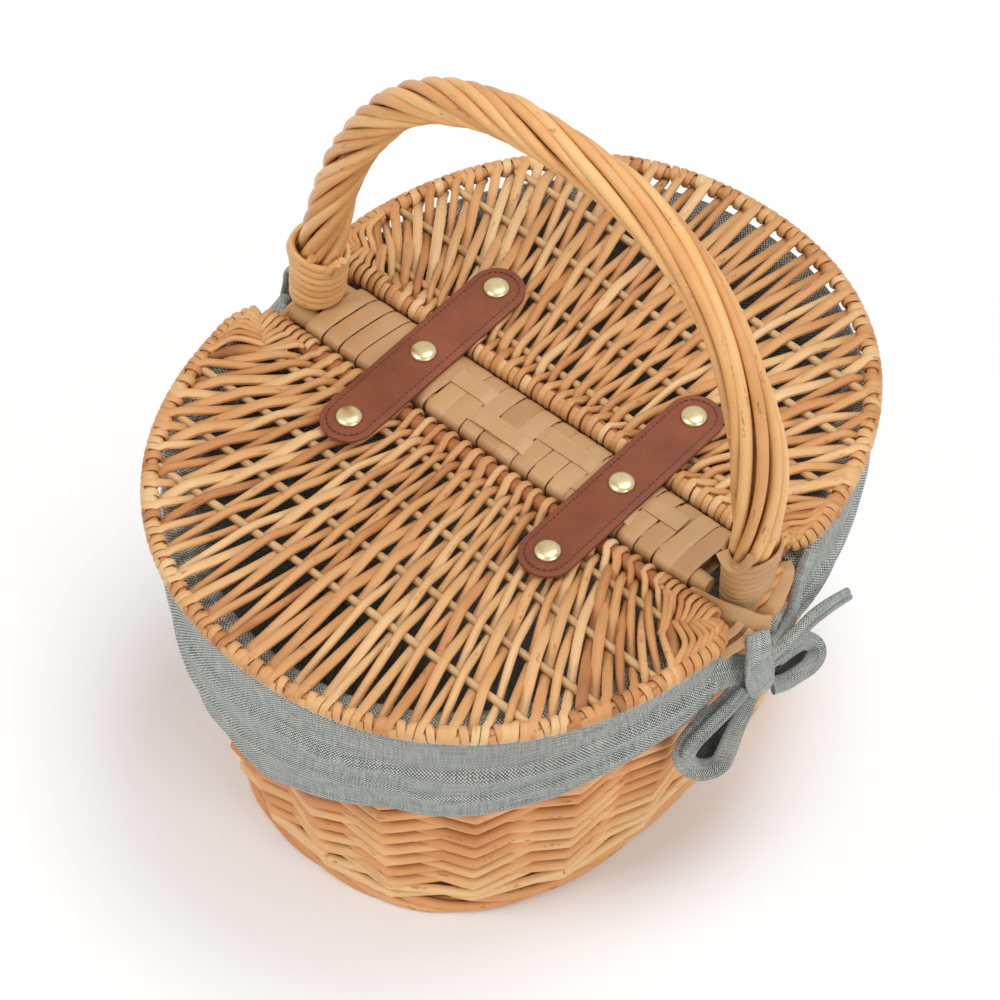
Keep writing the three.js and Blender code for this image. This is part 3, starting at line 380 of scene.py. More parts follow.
def linen(name, thread_pair):
    """Plain weave with uneven threads; thread_pair is the length of two threads in millimetres."""
    look = Look(name, Roughness=0.92, Specular_IOR_Level=0.25, Sheen_Weight=0.25)
    along = look.along()
    lengthwise = look.node("ShaderNodeSeparateXYZ", {}, {0: along})
    crosswise = Socket(look, lengthwise.output.node.outputs[1])
    pitch = 2 * math.pi / (thread_pair * MM)
    slubs = [look.grain(along, scale) for scale in ((60.0, 900.0), (900.0, 60.0))]
    waves = [
        look.node("ShaderNodeMath", {"operation": "SINE"}, {0: way * pitch + slub * 3.0})
        for way, slub in zip((lengthwise, crosswise), slubs)
    ]
    weave = waves[0] * waves[1]
    threads = weave * 0.5 + (slubs[0] + slubs[1]) * 0.5
    stops = [(0.18, (30, 34, 32)), (0.46, (124, 128, 122)), (0.74, (214, 216, 208))]
    colour = look.ramp(threads, stops)
    clouds = look.noise(look.place(), 14.0, 2.0)
    colour = look.mix((clouds - 0.3) * 0.4, colour, srgb(120, 124, 120))
    # Painted shade: a tone above 0.5, given only to the bow's sheets behind its loops, darkens the cloth
    # towards near-black.
    look.feed("Base Color", look.mix((look.tone() - 0.5) * 1.7, colour, srgb(36, 40, 39)))
    look.bump(weave + slubs[0] * 0.6 + slubs[1] * 0.6, 0.5, 0.0004)
    return look.material


def leather():
    """Chestnut leather with a fine grain and slightly worn, uneven colour."""
    look = Look("leather", Specular_IOR_Level=0.3)
    place = look.place()
    cells = {"Vector": place, "Scale": 900.0}
    grain = look.node("ShaderNodeTexVoronoi", {"feature": "DISTANCE_TO_EDGE"}, cells)
    clouds = look.noise(place, 45.0, 4.0, 0.6)
    stops = [(0.25, (112, 58, 36)), (0.55, (130, 70, 45)), (0.8, (142, 80, 53))]
    look.feed("Base Color", look.ramp(clouds, stops))
    look.feed("Roughness", clouds * 0.2 + 0.44)
    look.bump(grain + clouds * 0.3, 0.3, 0.0002)
    return look.material


def brass():
    """Pale polished brass with faint cloudy wear."""
    look = Look("brass", Metallic=1.0)
    clouds = look.noise(look.place(), 260.0, 3.0)
    look.feed("Base Color", look.ramp(clouds, [(0.3, (216, 196, 148)), (0.7, (226, 210, 166))]))
    look.feed("Roughness", clouds * 0.08 + 0.26)
    return look.material


willow_rods = willow("willow_rods", (222, 184, 134), (206, 154, 100), (186, 126, 76), 0.42)
handle_rods = willow("handle_rods", (234, 191, 132), (224, 171, 110), (198, 138, 83), 0.36)
wall_rods = willow("wall_rods", (236, 194, 140), (224, 164, 108), (204, 136, 84), 0.46)
dark_rods = willow("dark_rods", (190, 128, 80), (178, 114, 68), (158, 94, 54), 0.5)
pale_rods = willow("pale_rods", (214, 180, 132), (198, 158, 108), (180, 134, 86), 0.5)
skein = split_willow()
cloth = linen("linen", 1.75)
ribbon = linen("ribbon_linen", 1.25)
hide = leather()
stud_brass = brass()
thread = Look("thread", Base_Color=srgb(84, 44, 34), Roughness=0.7).material


# Points and routes


def unit(vectors):
    return vectors / np.maximum(np.linalg.norm(vectors, axis=-1, keepdims=True), 1e-9)


def points_at(x, y, z):
    """Points from their coordinates, each of them one value or a row of values."""
    return np.stack(np.broadcast_arrays(x, y, z), axis=-1).astype(float)


def full_turn(count):
    return np.linspace(0, 2 * math.pi, count, endpoint=False)


def bell(offset, width):
    return np.exp(-((offset / width) ** 2))


def lengths_along(points):
    steps = np.linalg.norm(np.diff(points, axis=0), axis=-1)
    return np.concatenate([[0], np.cumsum(steps)])


def sampled(points, places, wanted):
    """Points between those that lie at these places."""
    columns = [np.interp(wanted, places, column) for column in points.T]
    return np.stack(columns, axis=-1)


def smooth_route(points, count):
    """A rounded route through given points."""
    points = np.asarray(points, float)
    padded = np.vstack([2 * points[0] - points[1], points, 2 * points[-1] - points[-2]])
    route = []
    spans = len(points) - 1
    for u in np.linspace(0, spans, count):
        k = min(int(u), spans - 1)
        f = u - k
        a, b, c, d = padded[k : k + 4]
        bend = (2 * a - 5 * b + 4 * c - d) * f**2 + (3 * b - a - 3 * c + d) * f**3
        route.append(0.5 * (2 * b + (c - a) * f + bend))
    return np.array(route)


def across_for(route, face):
    """The way across a flat strip whose face looks this way."""
    return unit(np.cross(unit(np.gradient(route, axis=0)), face))


def oval(half_x, half_y, power, angle):
    """Points of an oval whose corners fill out as power grows past 2."""
    c, s = np.cos(angle), np.sin(angle)
    reach = (np.abs(c) ** power + np.abs(s) ** power) ** (-1 / power)
    return half_x * reach * c, half_y * reach * s


def wall_point(angle, z, inset):
    """A point of the body at this angle and level, inset from its outer surface."""
    angle, z, inset = np.broadcast_arrays(np.asarray(angle, float), z, inset)
    share = z / RIM_LEVEL
    half_x = FOOT_HALF[0] + (RIM_HALF[0] - FOOT_HALF[0]) * share - inset
    half_y = FOOT_HALF[1] + (RIM_HALF[1] - FOOT_HALF[1]) * share - inset
    x, y = oval(half_x, half_y, FOOT_POWER + (RIM_POWER - FOOT_POWER) * share, angle)
    return points_at(x, y, z)


def stake_angle(stake):
    return (stake + FIRST_STAKE) * STAKE_STEP


def between_stakes(stakes, level, inset):
    """A rod that runs straight between its places at the stakes, with tight bends there."""
    spans = len(stakes) - 1
    points = wall_point(stake_angle(stakes), level, inset)
    return sampled(points, np.arange(spans + 1), np.linspace(0, spans, 10 * spans + 1))


# Pieces made of strands and patches


def closed_round(upper, lower):
    """The section of a flat piece, row by row: over its upper side and back under its lower side."""
    return np.concatenate([upper, lower[:, ::-1], upper[:, :1]], axis=1)


def link(name, data):
    made = bpy.data.objects.new(name, data)
    bpy.context.scene.collection.objects.link(made)
    return made


class Piece:
    """One piece gathered from strands, which are tubes of any section, and from patches."""

    def __init__(self, name):
        self.name = name
        self.shape = bmesh.new()
        self.blocks = []

    def patch(self, points, tone=0.5, uv=None):
        """A sheet through points[row][column]."""
        rows, columns = points.shape[:2]
        bmesh.ops.create_grid(self.shape, x_segments=columns - 1, y_segments=rows - 1, size=1)
        if uv is None:
            down = lengths_along(points[:, columns // 2])
            across = lengths_along(points[rows // 2])
            uv = np.stack(np.meshgrid(across, down), axis=-1) * MM
        self.blocks.append((points * MM, uv, tone))

    def strand(self, route, wide, thick, across, tone=0.5, sides=8, closed=False, square=1.0):
        """A tube along route; wide and thick are its half sizes, across is the way it is wide."""
        route = np.asarray(route, float)
        count = len(route)
        across = np.broadcast_to(np.asarray(across, float), (count, 3))
        wide = np.broadcast_to(np.asarray(wide, float), (count,))
        thick = np.broadcast_to(np.asarray(thick, float), (count,))
        if closed:
            rows = (route, across, wide, thick)
            route, across, wide, thick = [np.concatenate([row, row[:1]]) for row in rows]
            run = unit(np.vstack([route[1:], route[1:2]]) - np.vstack([route[-2:-1], route[:-1]]))
        else:
            run = unit(np.gradient(route, axis=0))
        up = unit(np.cross(run, across))
        side = np.cross(up, run)
        turn = 2 * np.pi * (np.arange(sides + 1) % sides + 0.5) / sides
        c = np.sign(np.cos(turn)) * np.abs(np.cos(turn)) ** square
        s = np.sign(np.sin(turn)) * np.abs(np.sin(turn)) ** square
        sideways = (wide[:, None] * c)[..., None] * side[:, None]
        upwards = (thick[:, None] * s)[..., None] * up[:, None]
        rings = route[:, None] + sideways + upwards
        down = lengths_along(route)
        if not closed:
            first, last = [np.broadcast_to(route[i], (1, sides + 1, 3)) for i in (0, -1)]
            rings = np.concatenate([first, rings, last])
            down = np.concatenate([down[:1], down, down[-1:]])
        girth = 4 * (wide.mean() + thick.mean()) * np.arange(sides + 1) / sides
        grain_start = 37.0 * (tone % 0.1) * 100
        uv = np.stack(np.meshgrid(girth, down + grain_start), axis=-1)[..., ::-1] * MM
        self.patch(rings, tone, uv)

    def finish(self, body, material, slot, replaced, angle=50, thickness=0):
        """The mesh: each block's grid, whose own coordinates tell row and column, takes its points."""
        mesh = bpy.data.meshes.new(self.name)
        self.shape.to_mesh(mesh)
        self.shape.free()
        total = len(mesh.vertices)
        grid = np.empty(total * 3, np.float32)
        mesh.vertices.foreach_get("co", grid)
        grid = grid.reshape(-1, 3)
        where = np.empty((total, 3), np.float32)
        uvs = np.empty((total, 2), np.float32)
        tones = np.empty(total, np.float32)
        start = 0
        for points, uv, tone in self.blocks:
            rows, columns = points.shape[:2]
            part = slice(start, start + rows * columns)
            column = np.rint((grid[part, 0] + 1) / 2 * (columns - 1)).astype(int)
            row = np.rint((grid[part, 1] + 1) / 2 * (rows - 1)).astype(int)
            where[part] = points[row, column]
            uvs[part] = uv[row, column]
            tones[part] = tone
            start += rows * columns
        mesh.vertices.foreach_set("co", where.ravel())
        corners = np.empty(len(mesh.loops), np.int32)
        mesh.loops.foreach_get("vertex_index", corners)
        mesh.uv_layers.new(name="UVMap").data.foreach_set("uv", uvs[corners].ravel())
        mesh.attributes.new("tone", "FLOAT", "POINT").data.foreach_set("value", tones)
        weld(mesh)
        return dress(self.name, mesh, body, material, replaced, angle, thickness)


def weld(mesh):
    """Closes the seams and poles of a mesh and turns its faces out."""
    welded = bmesh.new()
    welded.from_mesh(mesh)
    bmesh.ops.remove_doubles(welded, verts=welded.verts, dist=1e-6)
    bmesh.ops.dissolve_degenerate(welded, edges=welded.edges, dist=1e-7)
    bmesh.ops.recalc_face_normals(welded, faces=welded.faces)
    welded.to_mesh(mesh)
    welded.free()


def dress(name, mesh, body, material, replaced, angle, thickness):
    """An object for a mesh, smooth shaded, with its material, that rides on a body of the frame."""
    mesh.polygons.foreach_set("use_smooth", np.ones(len(mesh.polygons), bool))
    mesh.set_sharp_from_angle(angle=math.radians(angle))
    mesh.materials.append(material)
    made = link(name, mesh)
    if thickness:
        solid = made.modifiers.new("thickness", "SOLIDIFY")
        solid.thickness = thickness * MM
        solid.offset = 0
    if replaced:
        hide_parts(*replaced)
    if body:
        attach(made, body)
    return made


# Body


def build_wall():
    """Rows of three weavers, in front of one stake and behind the next, over a waling of paler rods."""
    dice = random.Random(11)
    wall = Piece("wall_weaving")
    for row in range(int((WEAVE_TOP - WEAVE_BOTTOM) / ROW_PITCH) + 1):
        start = (row + 1) % 2 + 2 * dice.randrange(STAKES // 2)
        for spans in (6, 8, 6):
            stakes = start + np.arange(spans + 1)
            start += spans
            outside = (stakes + row) % 2 == 0
            inset = WALL_MIDDLE + np.where(outside, -WALL_WAVE[0], WALL_WAVE[1])
            drift = np.array([dice.uniform(-0.5, 0.5) for _ in stakes])
            level = WEAVE_BOTTOM + row * ROW_PITCH + drift - 0.4 * outside
            route = between_stakes(stakes, level, inset)
            thick = ROW_RADIUS * dice.uniform(0.9, 1.08)
            radius = thick * np.linspace(1.04, dice.uniform(0.86, 0.96), len(route))
            wall.strand(route, radius, radius, UP, dice.uniform(0.2, 0.75))
    for row in range(WALE_ROWS):
        start = dice.randrange(STAKES)
        for spans in (10, 10):
            stakes = start + np.arange(spans + 1)
            start += spans
            inset = np.where((stakes + row) % 3 == 2, WALE_INSET[1], WALE_INSET[0])
            route = between_stakes(stakes, WALE_BOTTOM + row * WALE_PITCH, inset)
            wall.strand(route, 2.4, 2.5, UP, dice.uniform(-0.4, 0.0))
    wall.finish("basket", wall_rods, "willow", ["wall_weave"])


def build_foot():
    """The foot: each stake's end comes down from the wall, runs along the ground and tucks in."""
    dice = random.Random(5)
    foot = Piece("foot_plait")
    way = np.array(FOOT_WAY).T
    for stake in range(STAKES):
        level = way[1] + [dice.uniform(-0.4, 0.4) for _ in FOOT_WAY]
        inset = way[2] + [dice.uniform(-0.3, 0.3) for _ in FOOT_WAY]
        keys = smooth_route(np.stack([stake + way[0], level, inset], -1), 60)
        radius = FOOT_ROD_RADIUS * dice.uniform(0.92, 1.06) * np.linspace(1.04, 0.86, 60)
        route = wall_point(stake_angle(keys[:, 0]), np.maximum(keys[:, 1], radius), keys[:, 2])
        foot.strand(route, radius, radius, UP, dice.uniform(0.2, 0.7))
    foot.finish("basket", wall_rods, "willow", ["foot_border"])


def build_border():
    """Stakes up through the weaving, and the border that their ends are turned down into."""
    dice = random.Random(3)
    border = Piece("stakes_and_border")
    for stake in range(STAKES):
        route = wall_point(stake_angle(stake), np.linspace(11.5, BORDER_LEVEL, 8), WALL_MIDDLE)
        border.strand(route, STAKE_RADIUS, STAKE_RADIUS, (0.3, 0.9, 0), 0.4)
    ring = full_turn(320)
    offset = BORDER_RADIUS - PLAIT_RADIUS - 0.1
    for k in range(BORDER_PLAITS):
        turn = BORDER_TURNS * ring + 2 * math.pi * k / BORDER_PLAITS
        z = BORDER_LEVEL + offset * np.sin(turn)
        inset = BORDER_RADIUS + offset * np.cos(turn)
        route = wall_point(ring, z, inset)
        border.strand(route, PLAIT_RADIUS, PLAIT_RADIUS, UP, dice.uniform(0.2, 0.8), 7, True)
    border.finish("basket", wall_rods, "willow", ["stakes_and_top_border"])


def build_base():
    """The woven base under the liner, and its ribs each way."""
    dice = random.Random(8)
    weave = Piece("base_weaving")
    ring = full_turn(144)
    for row, inset in enumerate(np.arange(0, BASE_CENTRE_INSET, BASE_PITCH)):
        x, y = oval(BASE_HALF[0] - inset, BASE_HALF[1] - inset, FOOT_POWER, ring)
        z = BASE_LEVEL + 2.0 * np.cos(12 * ring + math.pi * (row % 2))
        weave.strand(points_at(x, y, z), 2.1, 1.8, UP, dice.uniform(0.1, 0.8), 6, True)
    weave.finish("basket", wall_rods, "willow", ["base_weave"])
    ribs = Piece("base_ribs")
    for x in (-24, 0, 24):
        ribs.strand(points_at(x, np.linspace(-138, 138, 8), BASE_LEVEL), 2.4, 2.2, (1, 0, 0), 0.5)
    for y in (-88, -44, 0, 44, 88):
        ribs.strand(points_at(np.linspace(-88, 88, 8), y, BASE_LEVEL), 2.4, 2.2, (0, 1, 0), 0.4)
    ribs.finish("basket", pale_rods, "willow", ["base_sticks"])


# Liner


def hem_level(angle):
    """The hem hangs lowest at the left of the front half, and at the right of the back half."""
    across = np.where(np.sin(angle) < 0, np.cos(angle), -np.cos(angle))
    dip = np.sin(math.pi * np.clip(0.45 - across, 0, 1.5) / 1.5) ** 2
    ripple = 1.6 * np.sin(9 * angle) + 0.9 * np.sin(17 * angle + 1)
    return HEM["low"] + HEM["rise"] * np.cos(angle) ** 2 - HEM["sag"] * dip + 8 + ripple


def cuff_relief(angle, down):
    """How far the hanging cuff stands out from the wall, and what its soft ridges add to that."""
    folds = np.sin(8 * angle + 0.6) * 0.9 + np.sin(19 * angle + 1.7) * 0.4
    folds = folds + np.sin(33 * angle + 4) * 0.2
    upper = down - 0.36 - 0.07 * np.sin(2.3 * angle + 0.4)
    lower = down - 0.68 - 0.06 * np.sin(3.1 * angle + 2.0)
    ridge = bell(upper, 0.075) * 3.6 + bell(lower, 0.06) * 2.8
    ridge = ridge + bell(down - 0.5, 0.3) * 1.4
    hem_roll = bell(down - 0.975, 0.03) * 0.9
    crease = np.sin(11 * angle + 5 * down + 2) * np.sin(math.pi * down) * 0.7
    return 1.2 + 5.2 * down**0.8 + folds * down + ridge + hem_roll + crease, ridge


def build_cuff(name, first, node):
    """Half of the turned-down cuff, from inside the border over its top to the hem."""
    columns, rows = 200, 90
    angle = first + np.linspace(CUFF_SLIT, math.pi - CUFF_SLIT, columns)
    t = np.linspace(0, 1, rows)[:, None]
    inside, over = 0.16, 0.36
    turned = np.clip((t - inside) / (over - inside), 0, 1)
    down = np.clip((t - over) / (1 - over), 0, 1)
    proud, ridge = cuff_relief(angle, down)
    radius = BORDER_RADIUS + 1.2
    z_in = BORDER_LEVEL - 20 * (1 - np.clip(t / inside, 0, 1))
    z_over = BORDER_LEVEL + radius * np.sin(turned * math.pi)
    z_out = BORDER_LEVEL - (BORDER_LEVEL - hem_level(angle)) * down
    z = np.where(t < inside, z_in, np.where(t < over, z_over, z_out)) - ridge * 0.5
    inset_over = BORDER_RADIUS + radius * np.cos(turned * math.pi)
    inset = np.where(t < inside, 2 * BORDER_RADIUS + 1.6, np.where(t < over, inset_over, -proud))
    if name == "cuff_front":
        away, spread, size = SWELL
        inset = inset - size * bell(angle - math.pi - away, spread) * turned * (1 - 0.75 * down)
    points = wall_point(angle, z, inset)
    points[..., 2] = np.minimum(points[..., 2], CUFF_TOP)
    cuff = Piece(name)
    cuff.patch(points)
    made = cuff.finish("basket", cloth, "linen", [node], 80, CUFF_THICK)


def build_bag():
    """The bag inside: hangs from the border, down the wall and over the base, with soft folds."""
    angle = np.linspace(0, 2 * math.pi, 161)
    t = np.linspace(0, 1, 44)[:, None]
    wall_share = 0.56
    down = np.clip(t / wall_share, 0, 1)
    floor_run = np.clip((t - wall_share) / (1 - wall_share), 0, 1)
    folds = (np.sin(10 * angle) * 0.8 + np.sin(23 * angle + 1) * 0.5) * np.sin(math.pi * down)
    inset = 13.2 + np.abs(folds) + 5 * np.clip(down - 0.9, 0, 0.1) * 10
    points = wall_point(angle, BAG_TOP - (BAG_TOP - BAG_BOTTOM) * down, inset)
    points[..., :2] *= (1 - floor_run)[..., None]
    points[..., 2] += 0.8 * np.abs(np.sin(6 * angle)) * np.sin(math.pi * floor_run)
    bag = Piece("liner_inside")
    bag.patch(points)
    made = bag.finish("basket", cloth, "linen", ["liner_bag"], 80, BAG_THICK)


# Lids


def lid_outline(side):
    """The rim rod's centre line from its right end to its left end, a point each millimetre."""
    angle = np.linspace(LID_CORNER, math.pi - LID_CORNER, 120)
    x, y = oval(LID_HALF_X, LID_DEPTH, LID_POWER, angle)
    y = y + LID_OVAL_Y
    corner = np.array(LID_CORNERS[side])
    middle = np.stack([x, y], axis=-1)[y > corner[0][1] + 6]
    route = np.vstack([corner[::-1], middle, corner * (-1, 1)])
    run = lengths_along(route)
    route = sampled(route, run, np.arange(0, run[-1], 1.0))
    window = np.ones(11) / 11
    route[5:-5] = np.stack([np.convolve(column, window, "valid") for column in route.T], axis=-1)
    left, left_far, right = LID_SPREAD[side]
    far = (route[:, 1] - LID_OVAL_Y) / LID_DEPTH
    route[:, 0] *= np.where(route[:, 0] < 0, left + (left_far - left) * far, right)
    return points_at(route[:, 0], side * route[:, 1], LID_LEVEL)


def turn_round(centre, out, radius, first, last, along, advance, count):
    """Points of a turn round a rod that runs along; the angles are degrees from out, 90 is up."""
    turn = np.radians(np.linspace(first, last, count))[:, None]
    share = np.linspace(0, 1, count)[:, None]
    return centre + radius * (np.cos(turn) * out + np.sin(turn) * UP) + advance * share * along


def hinge_turn(x, side, radius, first, last, advance=0.0):
    """A turn round the hinge rod at x."""
    centre = (x, side * HINGE_OUTWARD, LID_LEVEL)
    return turn_round(centre, (0, side, 0), radius, first, last, (1, 0, 0), advance, 11)


def rise(outward, crossings, heights):
    """The level of a weaver that passes over and under rods which it crosses at these places."""
    place = np.interp(outward, crossings, np.arange(len(crossings)))
    index = np.minimum(place.astype(int), len(crossings) - 2)
    between = place - index
    ease = 0.55 * between * between * (3 - 2 * between) + 0.45 * between
    heights = np.array(heights)
    return LID_LEVEL + heights[index] * (1 - ease) + heights[index + 1] * ease


def middle_run(start, end, over, dice):
    """A weaver's route between the hinge rod and the rim, over and under the sticks between."""
    run = end - start
    length = np.linalg.norm(run)
    t = np.linspace(0, 1, max(int(length / WEAVER_STEP), 12))
    across = unit(np.cross(run, UP))
    sag = WEAVER_BOW * length * min(max(run[0] / length, -0.8), 0.8) * -np.sign(start[1])
    route = start + t[:, None] * run + (sag * np.sin(math.pi * t))[:, None] * across
    inner = [o for o in STICKS_OUTWARD if HINGE_OUTWARD + 8 < o < abs(end[1]) - 7]
    crossings = [HINGE_OUTWARD, *inner, abs(end[1])]
    outward = np.abs(route[:, 1])
    kinks = np.interp(outward, crossings, [0, *[dice.uniform(-0.9, 0.9) for _ in inner], 0])
    lift = STICK_RADIUS + WEAVER_THICK - 0.8
    heights = [HINGE_ROD_RADIUS + 1, *[lift] * len(inner), RIM_ROD_RADIUS + 0.9]
    heights = [h * (1 if over else -1) * (-1) ** i for i, h in enumerate(heights)]
    route = route + kinks[:, None] * across
    route[:, 2] = rise(outward, crossings, heights)
    away = np.linalg.norm((route - end)[:, :2], axis=1)
    kept = (outward > HINGE_OUTWARD + TURN_CLEARANCE) & (away > TURN_CLEARANCE)
    return route[kept], across, heights[-1] > 0


class Lid:
    """One lid: its rods, and the weaving between its hinge rod and its rim."""

    def __init__(self, name, side):
        self.name = f"lid_{name}"
        self.side = side
        self.dice = random.Random(21 if side < 0 else 34)
        self.rim = lid_outline(side)
        self.rim_run = unit(np.gradient(self.rim, axis=0))
        self.weave = Piece(f"{self.name}_weaving")

    def build_rods(self):
        rim = Piece(f"{self.name}_rim")
        rim.strand(self.rim, RIM_ROD_RADIUS, RIM_ROD_RADIUS, UP, 0.6)
        rim.finish(self.name, willow_rods, "willow", [f"{self.name}_rim_rod"])
        hinge = Piece(f"{self.name}_hinge")
        x = np.linspace(-HINGE_ROD_REACH, HINGE_ROD_REACH, 40)
        route = points_at(x, self.side * HINGE_OUTWARD + 0.5 * np.sin(x * 0.03), LID_LEVEL)
        radius = HINGE_ROD_RADIUS * (1 + 0.03 * np.sin(x * 0.11))
        hinge.strand(route, radius, radius, (0, 1, 0), 0.5, 10)
        hinge.finish(self.name, dark_rods, "dark_willow", [f"{self.name}_hinge_rod"])

    def build_sticks(self):
        sticks = Piece(f"{self.name}_sticks")
        edge_x = self.rim[:, 0]
        for outward in STICKS_OUTWARD:
            near = np.abs(np.abs(self.rim[:, 1]) - outward) < 1.0
            right = edge_x[near & (edge_x > 0)].min() - 3.5
            left = edge_x[near & (edge_x < 0)].max() + 3.5
            x = np.linspace(left, right, 24)
            drift = self.dice.uniform(-1, 1) * np.sin((x - left) / (right - left) * math.pi)
            route = points_at(x, self.side * outward + drift, LID_LEVEL)
            radius = STICK_RADIUS * (1 + 0.06 * np.sin(x * 0.07))
            sticks.strand(route, radius, radius, (0, 1, 0), self.dice.uniform(0.0, 0.5))
        nodes = [f"{self.name}_stick_{k + 1}" for k in range(len(STICKS_OUTWARD))]
        sticks.finish(self.name, pale_rods, "pale_willow", nodes)

    def rim_turn(self, at, over):
        """The turn that a weaver makes round the rim, from inside the lid."""
        along = self.rim_run[at]
        out = np.cross(along, UP)
        out = out * np.sign(out @ (self.rim[at] * (1, 1, 0)))
        radius = RIM_ROD_RADIUS + 0.85
        return turn_round(self.rim[at], out, radius, *RIM_TURN[bool(over)], along, RIM_TURN_RUN, 30)

    def lay(self, parts, tone):
        """One strand through parts, each [route, half width, half thickness, way across]."""
        ways = []
        for part, _, _, way in parts:
            way = np.asarray(way, float)
            if ways and way @ ways[-1][-1] < 0:
                way = -way
            ways.append(np.tile(way, (len(part), 1)))
        soften = np.ones(5) / 5
        sizes = []
        for size in (1, 2):
            steps = np.concatenate([np.full(len(part[0]), part[size]) for part in parts])
            sizes.append(np.convolve(np.pad(steps, 2, "edge"), soften, "valid"))
        self.weave.strand(np.vstack([part[0] for part in parts]), *sizes, np.vstack(ways), tone)

    def add_weaver(self, k):
        """A weaver from a turn round the hinge rod, through the sticks, to a turn round the rim."""
        dice = self.dice
        share = (k + 0.5) / LID_WEAVERS
        over = k % 2 == 0
        hinge_x = WEAVERS_REACH * (1 - 2 * share) + dice.uniform(-0.5, 0.5)
        span = len(self.rim) - 2 * RIM_FROM_CORNER
        at = int(RIM_FROM_CORNER + span * share + dice.uniform(-0.8, 0.8))
        wide = dice.uniform(1.95, 2.75)
        tone = min(max(dice.gauss(0.42, 0.18), 0), 0.8)
        start = np.array([hinge_x, self.side * HINGE_OUTWARD, 0])
        middle, across, ends_over = middle_run(start, self.rim[at] * (1, 1, 0), over, dice)
        under = (95, 290) if self.side > 0 else (225, 290)
        ends = (238, 68) if over else under
        hinge = hinge_turn(hinge_x, self.side, HINGE_ROD_RADIUS + 1, *ends, dice.uniform(-0.8, 0.8))
        third = len(middle) // 3
        self.lay([
            (hinge, wide * 0.82, 1.2, (self.side, 0, 0)),
            (middle[:third], wide * 0.9, WEAVER_THICK, across),
            (middle[third:], wide * 1.06, WEAVER_THICK, across),
            (self.rim_turn(at, ends_over), min(max(wide * 0.9, 2.0), 2.35), 0.85, self.rim_run[at]),
        ], tone)

    def add_corner(self, end):
        """The bunch of thin rods in one corner, and the stout rod that they cross."""
        side, dice = self.side, self.dice

        def place(x, outward, lift):
            return np.array([end * x, side * outward, LID_LEVEL + lift])

        for hinge_x, inner_x, inner_out in CORNER_LOOPS:
            loop = hinge_turn(end * hinge_x, side, HINGE_ROD_RADIUS + 1.2, 238, 60)
            bend = place(hinge_x * 0.6 + inner_x * 0.4, HINGE_OUTWARD + 5, 3.6)
            inner = [place(inner_x, inner_out, 1.6), place(inner_x + 1, inner_out + 4, -1.5)]
            middle = smooth_route([loop[-1], bend, *inner], 14)[1:]
            parts = [(loop, 1.7, 1.3, (side, 0, 0)), (middle, 1.6, 1.4, (side, 0.3 * end, 0))]
            self.lay(parts, dice.uniform(0.25, 0.75))
        other_end = self.rim[:, 0] * end <= 0
        for inner_x, inner_out, rim_out in CORNER_ENDS:
            at = int(np.argmin(np.abs(np.abs(self.rim[:, 1]) - rim_out) + 1000 * other_end))
            turn = self.rim_turn(at, True)
            bend_x = inner_x * 0.45 + abs(self.rim[at][0]) * 0.55 + 1.5
            bend = place(bend_x, inner_out * 0.5 + rim_out * 0.5 - 3, 4.4)
            inner = [place(inner_x - 3, inner_out - 2, 0.5), place(inner_x, inner_out, 3.2)]
            middle = smooth_route([*inner, bend, turn[0]], 14)[:-1]
            way = unit(np.cross(middle[-1] - middle[0], UP))
            parts = [(middle, 1.65, 1.45, way), (turn, 1.9, 1.0, self.rim_run[at])]
            self.lay(parts, dice.uniform(0.3, 0.8))
        stout = smooth_route([place(128, 42, -0.5), place(138, 51, 1.0), place(146, 62, -0.5)], 12)
        self.weave.strand(stout, 2.9, 2.7, (side * 0.7, 0.6, 0), 0.85, 10)


def build_lid(name, side):
    lid = Lid(name, side)
    lid.build_rods()
    lid.build_sticks()
    for k in range(LID_WEAVERS):
        lid.add_weaver(k)
    for end in (1, -1):
        lid.add_corner(end)
    lid.weave.finish(lid.name, willow_rods, "willow", [f"{lid.name}_weave"])


# Bar


def build_bar():
    dice = random.Random(9)
    rods = Piece("bar_rods")
    for y, reach in BAR_RODS:
        x = np.linspace(-reach - 8, reach, 30)
        radius = np.append(np.full(29, BAR_ROD_RADIUS), 4.4)
        route = points_at(x, y + 0.4 * np.sin(x * 0.05), BAR_LEVEL)
        rods.strand(route, radius, radius, (0, 1, 0), 0.6, 12)
    rods.finish("basket", pale_rods, "willow", ["bar_rod_front", "bar_rod_middle", "bar_rod_back"])

    winding = Piece("bar_wraps")
    ring_y, ring_z = oval(*BAR_HALF, BAR_POWER, full_turn(26))
    for k in range(BAR_TURNS):
        x = (k - (BAR_TURNS - 1) / 2) * BAR_PITCH + dice.uniform(-0.3, 0.3)
        slant = 2.6 if k < BAR_PLAIN_TURNS else dice.uniform(0.6, 1.6)
        half = BAR_PITCH / 2 - 0.15 + dice.uniform(-0.2, 0.15)
        ring = points_at(slant * (ring_y / BAR_HALF[0]) + x, ring_y, BAR_LEVEL + ring_z)
        tone = dice.uniform(0.0, 0.75)
        winding.strand(ring, half, SKEIN_HALF_THICK, (1, 0, 0), tone, 10, True, 0.62)
    ends = [(k - BAR_TURNS / 2) * BAR_PITCH for k in (BAR_PLAIN_TURNS, BAR_TURNS - 2)]
    for y, ahead in ((-7.6, 0), (4.4, 3)):
        x = np.linspace(*ends, 160)
        phase = x / BAR_PITCH + ahead + 0.5
        over = np.clip(3.2 * np.cos(math.pi * phase / 3), -1, 1)
        route = points_at(x, y, BAR_LEVEL + BAR_HALF[1] + 0.1 + 0.95 * over)
        winding.strand(route, 5.2, 0.45, (0, 1, 0), dice.uniform(0.0, 0.5), 8, False, 0.5)
    winding.finish("basket", skein, "skein", ["bar_winding", "bar_band_left", "bar_band_right"])


# Handle


